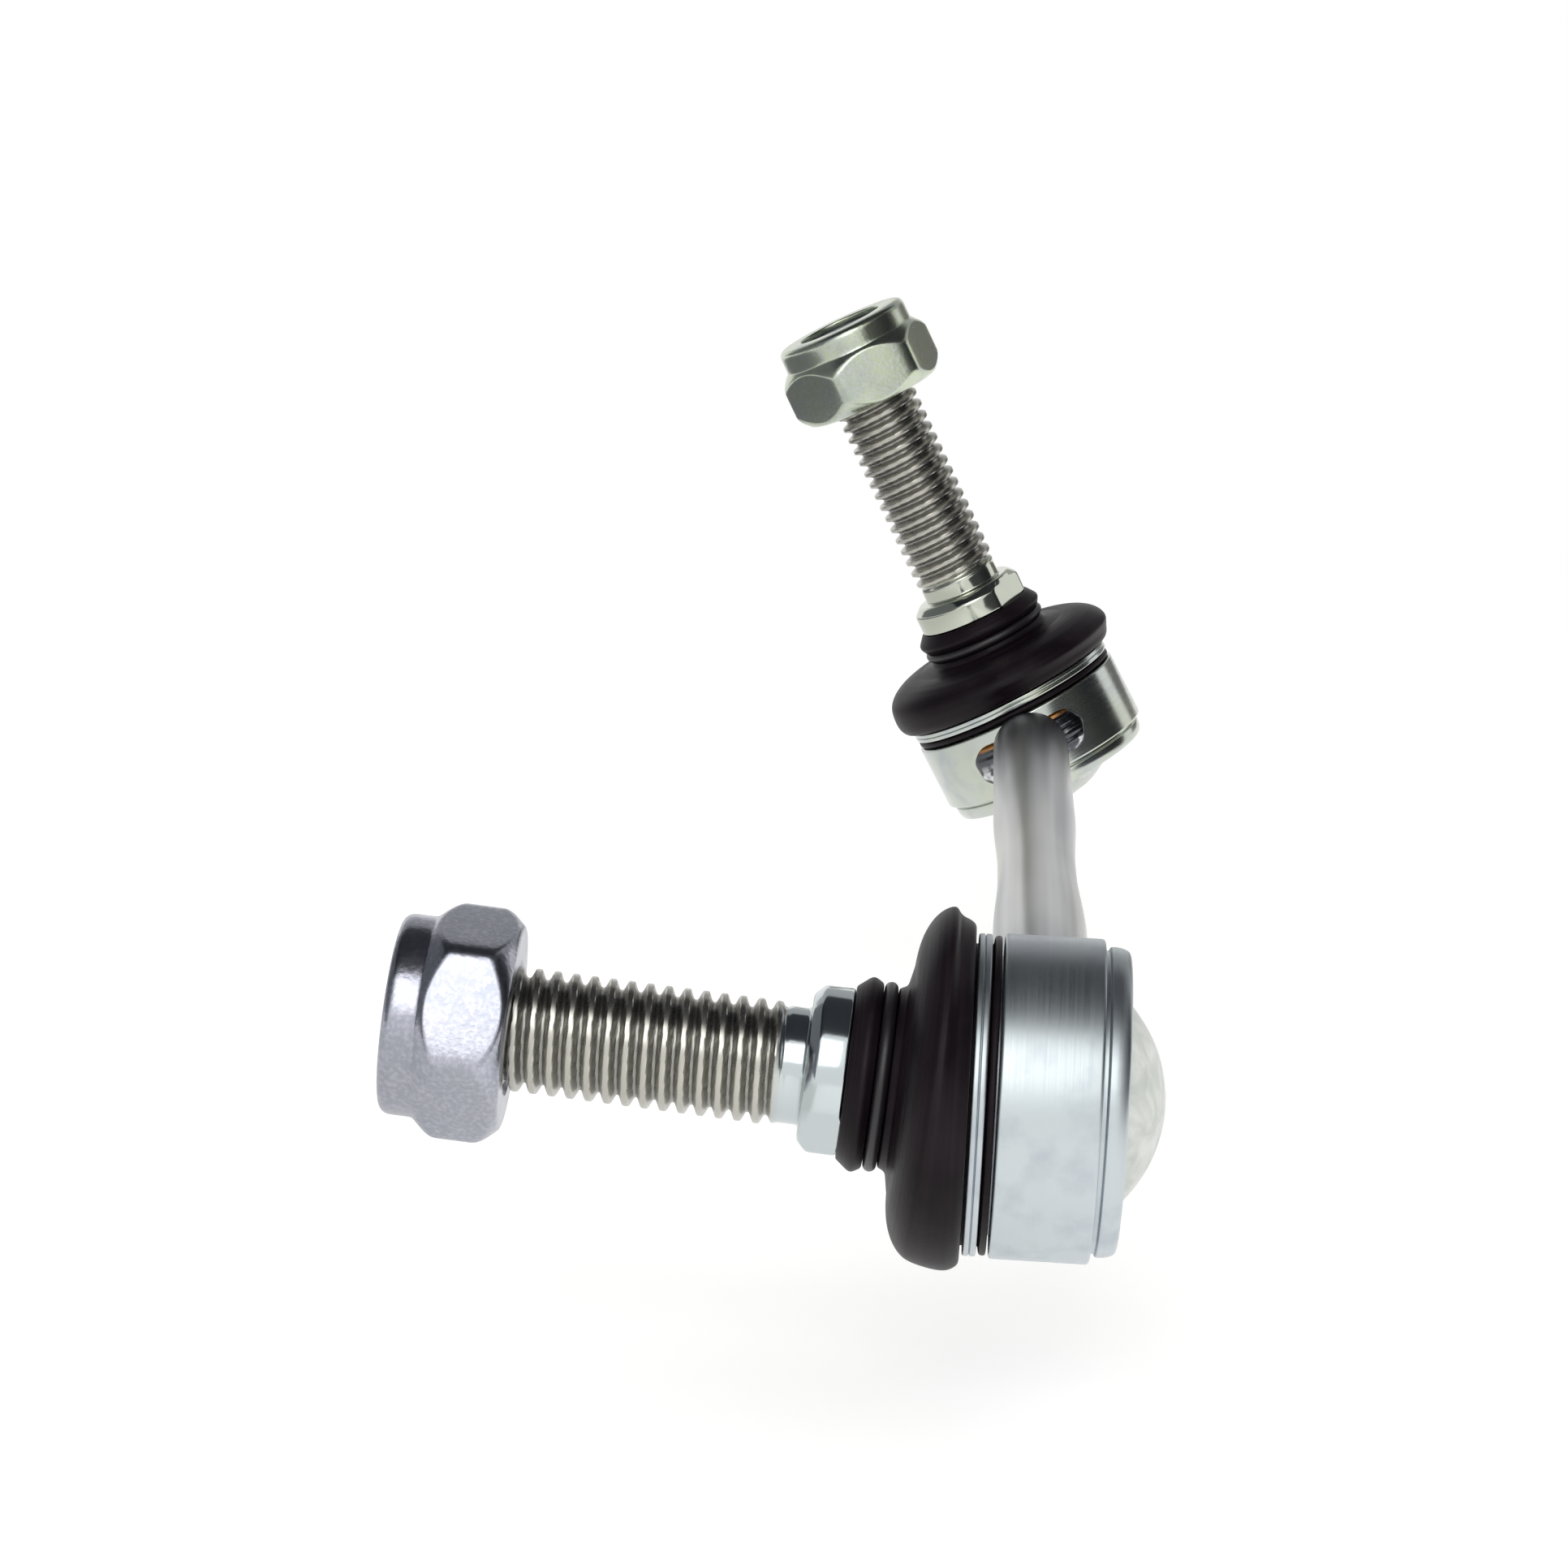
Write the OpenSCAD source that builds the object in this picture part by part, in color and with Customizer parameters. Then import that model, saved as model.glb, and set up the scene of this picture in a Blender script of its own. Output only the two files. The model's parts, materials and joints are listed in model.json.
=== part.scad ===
// Stabilizer link: a straight steel rod with a ball joint welded on at each end.
// +Y runs along the rod from the near joint to the far one, the near housing's axis points along -X
// towards its stud, and +Z is up. The origin is the centre of the near stud's shoulder, where a bracket
// seats. Inside a joint, z runs from the ball's centre along the housing to the stud and x points at the rod.

/* [Link] */
// Distance between the two ball centres
link_length = 170; // [120:1:260]
// Angle from the near housing's axis to the far one's, about the rod
twist = 60; // [0:1:120]
// Diameter of the rod at its middle
rod_d = 8; // [7:0.1:9]
// How much thicker the rod is at its forged ends
rod_end_extra = 0.9; // [0.1:0.1:1.2]
// Share of the link's length over which a forged end stays thick, from the ball centre
rod_end_share = 0.34; // [0.2:0.01:0.4]
// Share of the link's length at which the taper reaches the middle diameter
rod_waist_share = 0.48; // [0.42:0.01:0.49]
// Radius of each round weld pool beside the rod
weld_reach = 2.6; // [1:0.1:3.2]
// Height of the weld above the housing
weld_height = 0.9; // [0.3:0.1:1.5]

/* [Swing and turn as stored] */
// Tilt of the near stud away from its housing's axis
near_swing = 4.5; // [0:0.1:12]
// Direction of that tilt, counted about the housing from the rod's side
near_heading = 260; // [0:1:359]
// Tilt of the far stud away from its housing's axis
far_swing = 3.4; // [0:0.1:12]
// Direction of that tilt, counted about the housing from the rod's side
far_heading = 37; // [0:1:359]
// Turn of the near stud's wrench flats
near_stud_turn = 137; // [0:1:180]
// Turn of the far stud's wrench flats
far_stud_turn = 58; // [0:1:180]
// Turn of the near nut's hexagon
near_nut_turn = 50; // [0:1:60]
// Turn of the far nut's hexagon
far_nut_turn = 43; // [0:1:60]

/* [Ball housing] */
// Diameter of the housing's barrel
house_d = 26; // [25:0.1:30]
// Wall of the barrel around the seat
house_wall = 2.7; // [2.2:0.1:3]
// Barrel length in front of the ball's centre
barrel_front = 4.1; // [3.8:0.1:5]
// Barrel length behind the ball's centre
barrel_back = 3.9; // [3.5:0.1:5]
// How much smaller the crimped rear ring's radius is
crimp_step = 0.6; // [0.3:0.1:1]
// Length of the crimped rear ring
crimp_length = 2.1; // [1.6:0.1:2.6]
// Thickness of the lip that is rolled over the seat
crimp_lip = 0.8; // [0.6:0.1:1]
// Rounding of the crimped ring's outer edge
crimp_round = 0.9; // [0.4:0.1:1.2]
// Width of the roller's groove between barrel and crimped ring
roll_groove = 0.5; // [0.2:0.1:0.8]
// Height of the spigot that carries the boot, in front of the barrel
spigot_length = 3.8; // [3.4:0.1:4.4]
// Height of the spigot's retaining lip
spigot_lip_h = 0.7; // [0.4:0.1:0.9]
// How far the spigot's lip stands out
spigot_lip_out = 0.55; // [0.2:0.05:0.7]
// How much smaller than the ball's radius the mouth is where the stud comes out
mouth_in = 0.4; // [0.2:0.05:0.6]
// Extra radius of the flared mouth at its outer edge
mouth_flare = 1; // [0.3:0.1:1.4]
// Chamfer on the barrel's edges
barrel_chamfer = 0.3; // [0.1:0.05:0.4]

/* [Ball seat] */
// Wall of the plastic seat around the ball
seat_wall = 2.2; // [1.6:0.1:2.4]
// Height to which the seat grips above the ball's centre
seat_grip = 3.1; // [2.4:0.1:3.3]
// Number of slits in the gripping skirt
seat_slits = 6; // [3:1:8]
// Width of a slit
slit_w = 0.9; // [0.5:0.1:1.4]
// Height of a slit's closed end above the ball's centre
slit_z = 0.5; // [0.2:0.1:1]
// How much smaller than the seat's radius the dome is that shows at the back
dome_in = 2.2; // [1.6:0.1:3]
// Wall of the dome behind the ball
dome_wall = 1.35; // [0.6:0.05:1.4]
// Sphere radius of the dome
dome_sphere = 11.5; // [11:0.1:16]

/* [Ball stud] */
// Radius of the neck just above the ball
neck_r = 4; // [3.4:0.1:4.3]
// Height at which the neck starts to widen
neck_top = 9.6; // [9:0.1:10.4]
// Radius of the land that the boot's neck grips
land_r = 5.2; // [4.8:0.05:5.5]
// Height of the land's lower edge
land_z = 11.8; // [11.4:0.1:12]
// Height of the collar's underside
collar_z = 16.3; // [16.2:0.05:17]
// Height of the shoulder against which a bracket seats
shoulder_z = 19.6; // [19.2:0.1:22]
// Diameter of the collar
collar_d = 13.5; // [13:0.1:15]
// Distance across the collar's wrench flats
flats_w = 12; // [11.4:0.1:12.8]
// Chamfer on the collar's front edge
collar_chamfer = 0.5; // [0.2:0.05:0.7]
// Radius of the plain shank between shoulder and thread
shank_r = 4.72; // [4.5:0.01:4.95]
// Height at which the thread starts
thread_z = 22; // [22:0.1:24]
// Outer diameter of the thread
thread_d = 10; // [10:0.01:10.2]
// Height of the stud's tip
tip_z = 50.2; // [48:0.1:50.4]
// Chamfer on the tip
tip_chamfer = 0.9; // [0.5:0.1:1.2]

/* [Boot] */
// How far the boot's bulge stands out past the barrel
bulge_out = 1.35; // [0.8:0.05:2]
// Height of the bulge's widest place
bulge_z = 8.9; // [8.6:0.1:9.2]
// Height of the bulge's top
bulge_top = 11.8; // [11.5:0.1:11.9]
// Width over which the bulge's top turns down into its side
bulge_side = 4.9; // [3.8:0.1:5.4]
// Wall of the rubber
boot_wall = 1.4; // [1:0.1:1.6]
// Radius of the boot's neck rib
rib_r = 7.95; // [7.7:0.05:8.4]
// Height of the boot's neck rib
rib_z = 15; // [14.9:0.05:15.2]
// Depth of the boot's lip below the stud's collar
lip_gap = 0.3; // [0.25:0.05:0.5]
// Steps around the boot
boot_steps = 36; // [24:4:48]

/* [Boot rings] */
// Height of the base clip's lower edge
clip_z = 5.1; // [5:0.05:5.3]
// Width of the base clip
clip_w = 1.1; // [0.9:0.05:1.3]
// Thickness of the base clip
clip_t = 0.6; // [0.4:0.05:0.8]
// Wire diameter of the neck ring
wire_d = 1.1; // [0.8:0.05:1.2]
// Height of the neck ring
wire_z = 13.5; // [13.4:0.05:13.6]

/* [Lock nut] */
// Distance across the nut's flats
nut_af = 17; // [16:0.5:19]
// Height of the hexagon
hex_h = 7; // [6.5:0.1:8]
// Height of the round crown above the hexagon
crown_h = 2.8; // [2.7:0.1:4]
// Radius of the crown
crown_r = 8.1; // [7.7:0.05:8.2]
// Rounding of the crown's outer edge
crown_round = 1.7; // [1:0.1:1.8]
// Height of the nut's bearing face as stored
nut_z = 43.2; // [43.2:0.1:45]
// How much further out the far nut is stored than the near one
far_nut_out = 2; // [0:0.1:3]
// Radius of the bearing face inside the hexagon's chamfer
bearing_r = 8.15; // [7.8:0.05:8.4]
// Height of the hexagon's corner chamfers
hex_chamfer = 1.5; // [0.8:0.05:2]
// Depth to which the hexagon's corners are turned off round
corner_cut = 0.3; // [0.1:0.05:0.5]
// Radial thickness of the nylon insert
insert_t = 1.6; // [1.2:0.05:1.7]
// Height of the nylon insert
insert_h = 2.2; // [1.8:0.1:2.4]
// Thickness of the crown's edge that is rolled over the insert
crown_lip = 0.7; // [0.5:0.05:0.9]

/* [Clearances] */
// Between the ball and its seat
ball_gap = 0.05; // [0.02:0.01:0.08]
// Between the seat and the housing
seat_gap = 0.1; // [0.05:0.01:0.15]
// Between rubber and what it grips
soft_gap = 0.22; // [0.18:0.01:0.25]
// Between the nut's parts and the thread, and between nut and insert
thread_gap = 0.04; // [0.02:0.01:0.08]

/* [Hidden] */
$fn = 96;
house_r = house_d / 2;
seat_r = house_r - house_wall - seat_gap;
ball_r = seat_r - seat_wall;
mouth_r = ball_r - mouth_in;
dome_r = seat_r - dome_in;
dome_back = ball_r + ball_gap + dome_wall;
crimp_r = house_r - crimp_step;
crimp_end = barrel_back + crimp_length;
spigot_top = barrel_front + spigot_length;
foot_r = house_r - soft_gap;
clip_r = foot_r + soft_gap / 2;
clip_in = clip_r - clip_t;
foot_out = clip_in - soft_gap;
spigot_r = foot_out - boot_wall * 0.5 - soft_gap;
seat_back = crimp_end - crimp_lip - seat_gap;
collar_r = collar_d / 2;
thread_r = thread_d / 2;
bulge_r = house_r + bulge_out;
bulge_turn_r = bulge_r - bulge_side;
wire_r = wire_d / 2;
groove_r = land_r + soft_gap + 0.9;
wire_ring_r = groove_r + soft_gap + wire_r;
boot_top = collar_z - lip_gap;
nut_bore = thread_r + thread_gap;
hex_r = nut_af / sqrt(3);
corner_r = hex_r - corner_cut;
nut_h = hex_h + crown_h;
insert_r = nut_bore + insert_t;
insert_z = nut_h - crown_lip - thread_gap - insert_h;
near_axis = [-cos(near_swing), sin(near_swing) * cos(near_heading), -sin(near_swing) * sin(near_heading)];
near_ball = -shoulder_z * near_axis;
far_ball = near_ball + [0, link_length, 0];
rod_r = rod_d / 2;
rod_end_r = rod_r + rod_end_extra / 2;
rod_end_length = rod_end_share * link_length;
rod_waist = rod_waist_share * link_length;
boot_still = spigot_top - spigot_lip_h;
boot_follow = bulge_z + bulge_out / 2;

zinc = "#C6CCD1";
bright_zinc = "#D5DADD";
steel_grey = "#B4B6AF";
rubber_black = "#241F22";
spring_black = "#35343A";
milky_plastic = "#DADDD8";
nylon_white = "#D9DCD6";
weld_grey = "#8F9396";

// Places of the two joints
module at_near() translate(near_ball) rotate([-90, 0, 0]) rotate([0, -90, 0]) children();
module at_far() translate(far_ball) rotate([0, twist, 0]) rotate([-90, 0, 0]) rotate([0, -90, 0])
    rotate([0, 0, 180]) children();
module swung(tilt, heading) rotate([0, 0, heading]) rotate([0, tilt, 0]) rotate([0, 0, -heading]) children();
module near_stud_place() at_near() swung(near_swing, near_heading) children();
module far_stud_place() at_far() swung(far_swing, far_heading) children();

// Section of a ring with rounded edges, between two radii and two heights
module ring_section(inner, outer, low, high, corner) {
    translate([inner, low + corner]) square([outer - inner, high - low - 2 * corner]);
    translate([inner + corner, low]) square([outer - inner - 2 * corner, high - low]);
    for (x = [inner + corner, outer - corner], z = [low + corner, high - corner])
        translate([x, z]) circle(corner);
}

// Housing: turned barrel, front spigot with the boot's groove, and the rear ring crimped over the seat
module housing() color(zinc) rotate_extrude() difference() {
    union() {
        polygon([[0, -barrel_back], [house_r - barrel_chamfer, -barrel_back],
            [house_r, -barrel_back + barrel_chamfer], [house_r, barrel_front - barrel_chamfer],
            [house_r - barrel_chamfer, barrel_front], [0, barrel_front]]);
        translate([0, barrel_front]) square([spigot_r, spigot_length]);
        polygon([[0, spigot_top - spigot_lip_h], [spigot_r, spigot_top - spigot_lip_h],
            [spigot_r + spigot_lip_out, spigot_top - spigot_lip_h / 2], [spigot_r, spigot_top], [0, spigot_top]]);
        translate([0, -crimp_end + crimp_round]) square([crimp_r, crimp_length - crimp_round - roll_groove]);
        translate([0, -crimp_end]) square([crimp_r - crimp_round, crimp_length]);
        translate([crimp_r - crimp_round, -crimp_end + crimp_round]) circle(crimp_round);
        translate([0, -barrel_back - roll_groove]) square([crimp_r - crimp_step / 2, roll_groove]);
    }
    translate([0, -crimp_end + crimp_lip]) square([seat_r + seat_gap, crimp_end - crimp_lip + seat_grip + seat_gap]);
    translate([0, -crimp_end]) square([dome_r + seat_gap, crimp_lip]);
    polygon([[0, seat_grip], [mouth_r, seat_grip], [mouth_r, barrel_front],
        [mouth_r + mouth_flare, spigot_top], [0, spigot_top]]);
}

// Ball seat: a plastic cup that grips the ball past its middle with a slit skirt and bulges out at the back
module ball_seat() color(milky_plastic) difference() {
    rotate_extrude() difference() {
        union() {
            translate([0, -seat_back]) square([seat_r, seat_back + seat_grip]);
            intersection() {
                translate([0, -dome_back]) square([dome_r, dome_back]);
                translate([0, dome_sphere - dome_back]) circle(dome_sphere);
            }
        }
        circle(ball_r + ball_gap);
    }
    for (i = [0 : seat_slits - 1]) rotate([0, 0, i * 360 / seat_slits])
        translate([ball_r / 2, -slit_w / 2, slit_z]) cube([seat_r, slit_w, 2 * seat_grip]);
}

// Ball stud: ball, waisted neck, land for the boot, collar with two wrench flats, shank and threaded end
module ball_stud(turn) color(bright_zinc) rotate([0, 0, turn]) difference() {
    rotate_extrude() union() {
        intersection() {
            circle(ball_r);
            translate([0, -ball_r]) square([ball_r, 2 * ball_r]);
        }
        polygon([[0, 0], [neck_r, 0], [neck_r, neck_top], [land_r, land_z], [land_r, collar_z], [collar_r, collar_z],
            [collar_r, shoulder_z - collar_chamfer], [collar_r - collar_chamfer, shoulder_z],
            [shank_r, shoulder_z], [shank_r, thread_z - (thread_r - shank_r)], [thread_r, thread_z],
            [thread_r, tip_z - tip_chamfer], [thread_r - tip_chamfer, tip_z], [0, tip_z]]);
    }
    for (side = [0, 180]) rotate([0, 0, side])
        translate([flats_w / 2, -collar_r, collar_z]) cube([collar_r, collar_d, shoulder_z - collar_z]);
}

// Boot: its section is a bulged sleeve; ring by ring the section turns from the housing's axis to the stud's
function quarter(r0, z0, a, b, from, to, steps) =
    [for (i = [0 : steps]) let (t = from + (to - from) * i / steps) [r0 + a * cos(t), z0 + b * sin(t)]];
boot_outside = concat(
    [[foot_r, barrel_front + soft_gap], [foot_r, clip_z - soft_gap], [foot_out, clip_z - soft_gap / 2],
        [foot_out, clip_z + clip_w + soft_gap]],
    quarter(house_r + bulge_out / 4, bulge_z, bulge_out * 3 / 4, bulge_z - clip_z - clip_w - soft_gap, -90, -15, 4),
    quarter(bulge_turn_r, bulge_z, bulge_r - bulge_turn_r, bulge_top - bulge_z, 0, 90, 8),
    [[groove_r + 1.1, bulge_top + 0.35], [groove_r, wire_z - wire_r - soft_gap],
        [groove_r, wire_z + wire_r + soft_gap], [rib_r - 0.5, wire_z + wire_r + soft_gap + 0.1], [rib_r, rib_z],
        [rib_r - 0.8, boot_top]]);
boot_inside = concat(
    [[land_r + soft_gap, boot_top], [land_r + soft_gap, land_z + 0.6], [land_r + 1.3, bulge_top - boot_wall + 0.3]],
    quarter(bulge_turn_r, bulge_z, bulge_r - boot_wall - bulge_turn_r, bulge_top - boot_wall - bulge_z, 90, -40, 7),
    [[spigot_r + spigot_lip_out + soft_gap, spigot_top - spigot_lip_h],
        [spigot_r + soft_gap, spigot_top - spigot_lip_h - soft_gap], [spigot_r + soft_gap, barrel_front + soft_gap]]);
boot_section = concat(boot_outside, boot_inside);

function smooth(x) = let (t = min(max(x, 0), 1)) t * t * (3 - 2 * t);
function boot_share(z) = smooth((z - boot_still) / (boot_follow - boot_still));
function boot_point(p, angle, tilt, heading) =
    let (turn = tilt * boot_share(p[1]),
        u = p[0] * cos(angle - heading), v = p[0] * sin(angle - heading),
        lean = u * cos(turn) + p[1] * sin(turn))
    [lean * cos(heading) - v * sin(heading), lean * sin(heading) + v * cos(heading),
        p[1] * cos(turn) - u * sin(turn)];

module boot(tilt, heading) {
    count = len(boot_section);
    points = [for (i = [0 : boot_steps - 1], p = boot_section) boot_point(p, i * 360 / boot_steps, tilt, heading)];
    faces = [for (i = [0 : boot_steps - 1], j = [0 : count - 1])
        let (i2 = (i + 1) % boot_steps, j2 = (j + 1) % count,
            a = i * count + j, b = i2 * count + j, c = i2 * count + j2, d = i * count + j2)
        each [[a, c, b], [a, d, c]]];
    color(rubber_black) polyhedron(points, faces);
}

// Base clip: the flat steel band that clamps the boot's foot
module boot_clip() color(bright_zinc) rotate_extrude()
    ring_section(clip_in, clip_r, clip_z, clip_z + clip_w, clip_t / 3);

// Neck ring: the round spring wire that holds the boot's neck on the stud's land
module neck_ring() color(spring_black) rotate_extrude() translate([wire_ring_r, wire_z]) circle(wire_r);

// Lock nut: hexagon with round corners and both ends chamfered, and the round crown that holds the insert
module lock_nut(turn, out) color(zinc) translate([0, 0, nut_z + out]) difference() {
    union() {
        intersection() {
            rotate([0, 0, turn]) cylinder(r = hex_r, h = hex_h, $fn = 6);
            rotate_extrude() polygon([[0, 0], [bearing_r, 0], [corner_r, hex_chamfer],
                [corner_r, hex_h - hex_chamfer], [bearing_r, hex_h], [0, hex_h]]);
        }
        rotate_extrude() {
            translate([0, hex_h - hex_chamfer]) square([crown_r, crown_h + hex_chamfer - crown_round]);
            translate([0, hex_h]) square([crown_r - crown_round, crown_h]);
            translate([crown_r - crown_round, nut_h - crown_round]) circle(crown_round);
        }
    }
    rotate_extrude() {
        square([nut_bore, nut_h]);
        polygon([[0, 0], [nut_bore + 0.5, 0], [nut_bore, 0.5], [0, 0.5]]);
        translate([0, insert_z - thread_gap])
            square([insert_r + thread_gap, insert_h + 2 * thread_gap]);
        translate([0, insert_z]) square([nut_bore + 2 * thread_gap, nut_h - insert_z]);
    }
}

// Nylon insert: the ring inside the crown that grips the thread
module nut_insert(out) color(nylon_white) translate([0, 0, nut_z + out]) rotate_extrude()
    ring_section(nut_bore, insert_r, insert_z, insert_z + insert_h, insert_t / 5);

// Weld: one of the two round pools of metal beside the rod on the barrel; side is 1 or -1 along local y
module weld(side) color(weld_grey) difference() {
    intersection() {
        translate([0, side * rod_end_r, 0]) rotate([0, 90, 0]) cylinder(r = weld_reach, h = 2 * house_r);
        cylinder(r = house_r + weld_height, h = 4 * house_r, center = true);
    }
    cylinder(r = house_r, h = 4 * house_r, center = true);
    rotate([0, 90, 0]) cylinder(r = rod_end_r, h = 2 * house_r);
}

// Rod: drawn bar with slightly thicker forged ends, cut to the barrels at both ends
module rod() color(steel_grey) difference() {
    translate(near_ball) rotate([-90, 0, 0]) rotate_extrude() polygon([[0, 0], [rod_end_r, 0],
        [rod_end_r, rod_end_length], [rod_r, rod_waist],
        [rod_r, link_length - rod_waist], [rod_end_r, link_length - rod_end_length],
        [rod_end_r, link_length], [0, link_length]]);
    at_near() cylinder(r = house_r, h = 4 * house_r, center = true);
    at_far() cylinder(r = house_r, h = 4 * house_r, center = true);
}

module near_housing() at_near() housing();
module near_ball_seat() at_near() ball_seat();
module near_ball_stud() near_stud_place() ball_stud(near_stud_turn);
module near_boot() at_near() boot(near_swing, near_heading);
module near_boot_clip() at_near() boot_clip();
module near_neck_ring() near_stud_place() neck_ring();
module near_lock_nut() near_stud_place() lock_nut(near_nut_turn, 0);
module near_nut_insert() near_stud_place() nut_insert(0);
module near_weld_upper() at_near() weld(-1);
module near_weld_lower() at_near() weld(1);
module far_housing() at_far() housing();
module far_ball_seat() at_far() ball_seat();
module far_ball_stud() far_stud_place() ball_stud(far_stud_turn);
module far_boot() at_far() boot(far_swing, far_heading);
module far_boot_clip() at_far() boot_clip();
module far_neck_ring() far_stud_place() neck_ring();
module far_lock_nut() far_stud_place() lock_nut(far_nut_turn, far_nut_out);
module far_nut_insert() far_stud_place() nut_insert(far_nut_out);
module far_weld_upper() at_far() weld(1);
module far_weld_lower() at_far() weld(-1);

rod();
near_housing();
near_ball_seat();
near_ball_stud();
near_boot();
near_boot_clip();
near_neck_ring();
near_lock_nut();
near_nut_insert();
near_weld_upper();
near_weld_lower();
far_housing();
far_ball_seat();
far_ball_stud();
far_boot();
far_boot_clip();
far_neck_ring();
far_lock_nut();
far_nut_insert();
far_weld_upper();
far_weld_lower();
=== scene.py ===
"""Stabilizer link: the visible surfaces of a straight link rod with a booted ball joint at each end."""

import json
import math

import bpy
import numpy as np
from mathutils import Matrix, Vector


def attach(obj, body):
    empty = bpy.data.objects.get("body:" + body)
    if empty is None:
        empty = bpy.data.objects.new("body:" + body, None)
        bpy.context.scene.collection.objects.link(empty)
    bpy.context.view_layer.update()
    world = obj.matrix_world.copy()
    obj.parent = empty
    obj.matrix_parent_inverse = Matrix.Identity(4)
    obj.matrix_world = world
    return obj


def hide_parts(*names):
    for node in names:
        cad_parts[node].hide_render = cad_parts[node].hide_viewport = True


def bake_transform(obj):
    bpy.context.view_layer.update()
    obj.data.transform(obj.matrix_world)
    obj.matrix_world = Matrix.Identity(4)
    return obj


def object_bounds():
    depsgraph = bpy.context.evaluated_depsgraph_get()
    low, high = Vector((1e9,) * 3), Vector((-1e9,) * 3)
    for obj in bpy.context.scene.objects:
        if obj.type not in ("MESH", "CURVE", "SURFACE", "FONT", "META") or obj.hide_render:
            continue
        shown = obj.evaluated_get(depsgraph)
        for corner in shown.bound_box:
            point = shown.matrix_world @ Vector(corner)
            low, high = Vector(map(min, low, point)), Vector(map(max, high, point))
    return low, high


bl_info = {
    "name": "Stabilizer link",
    "version": (1, 0, 0),
    "blender": (4, 5, 0),
    "location": "View3D > Sidebar > Link",
    "description": "Dresses a stabilizer link with its rod, ball joints, boots, studs and lock nuts",
    "category": "Add Mesh",
}

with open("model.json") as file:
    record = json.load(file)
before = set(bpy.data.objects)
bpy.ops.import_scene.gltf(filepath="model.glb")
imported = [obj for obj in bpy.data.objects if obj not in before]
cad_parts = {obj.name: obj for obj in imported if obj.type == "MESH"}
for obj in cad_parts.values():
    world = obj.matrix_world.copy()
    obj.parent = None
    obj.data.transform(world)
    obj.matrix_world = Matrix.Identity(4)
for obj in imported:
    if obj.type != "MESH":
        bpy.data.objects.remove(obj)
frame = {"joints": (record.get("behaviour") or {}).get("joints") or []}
CAD_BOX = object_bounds()
ENDS = ("near", "far")
# One millimetre in metres
MM = 0.001
# Lowest angle of a ball's section, just off its pole
POLE = -math.pi / 2 + 0.03
# Inputs of a colour mix by their place, because its sockets share their names
SHARE, FIRST, SECOND = 0, 6, 7
# The output to link where it isn't a node's first: the mixed colour, and an attribute's value
USED_OUTPUT = {"ShaderNodeMix": 2, "ShaderNodeAttribute": 2}


def linear(hex_colour):
    """Turns an sRGB hex colour into linear red, green, blue."""
    values = np.array([int(hex_colour[i:i + 2], 16) for i in (1, 3, 5)]) / 255
    return tuple(np.where(values <= 0.04045, values / 12.92, ((values + 0.055) / 1.055) ** 2.4))


def length(name, description, default_mm):
    """A length property: its default is given in millimetres and held in metres."""
    return bpy.props.FloatProperty(name=name, description=description, default=default_mm * MM,
                                   unit="LENGTH", precision=5)


def angle(name, description, default_degrees):
    """An angle property: its default is given in degrees and held in radians."""
    return bpy.props.FloatProperty(name=name, description=description, default=math.radians(default_degrees),
                                   subtype="ANGLE")


def colour(name, description, hex_colour):
    """A colour property whose default is an sRGB hex colour."""
    return bpy.props.FloatVectorProperty(name=name, description=description, subtype="COLOR", size=3,
                                         min=0, max=1, default=linear(hex_colour))


class LinkRodSizes(bpy.types.PropertyGroup):
    """Sizes of the rod and its welds."""
    middle_r: length("Rod radius", "Radius of the rod at its middle", 4.0)
    end_r: length("Rod end radius", "Radius of the rod's forged ends", 4.45)
    end_length: length("Forged end", "Length of a forged end from the ball's centre", 57.8)
    waist: length("Waist", "Distance from the ball's centre at which the rod is thinnest", 81.6)
    end_round: length("End rounding", "Rounding of the end's edge", 0.5)
    heat_length: length("Heat tint", "Length of the heat tint beside a weld", 40)
    weld_reach: length("Weld reach", "Radius of a weld pool beside the rod", 2.6)
    weld_height: length("Weld height", "Height of the weld on the barrel", 0.9)


class LinkHousingSizes(bpy.types.PropertyGroup):
    """Sizes of a ball housing and its seat, along the housing from the ball's centre."""
    barrel_r: length("Barrel radius", "Radius of the turned barrel", 13)
    barrel_front: length("Barrel front", "Barrel length in front of the ball", 4.1)
    barrel_back: length("Barrel back", "Barrel length behind the ball", 3.9)
    crimp_r: length("Crimp radius", "Radius of the crimped rear ring", 12.4)
    crimp_end: length("Crimp end", "Distance of the crimped ring's end behind the ball", 6.0)
    spigot_r: length("Spigot radius", "Radius of the spigot under the boot", 11.15)
    spigot_top: length("Spigot top", "Height of the spigot", 7.9)
    seat_r: length("Seat radius", "Outer radius of the plastic seat", 10.2)
    dome_r: length("Dome radius", "Radius of the seat's dome where it leaves the crimp", 8.0)
    dome_end: length("Dome end", "Distance of the dome's crown behind the ball", 9.4)
    dome_sphere: length("Dome sphere", "Sphere radius of the dome", 11.5)


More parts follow.
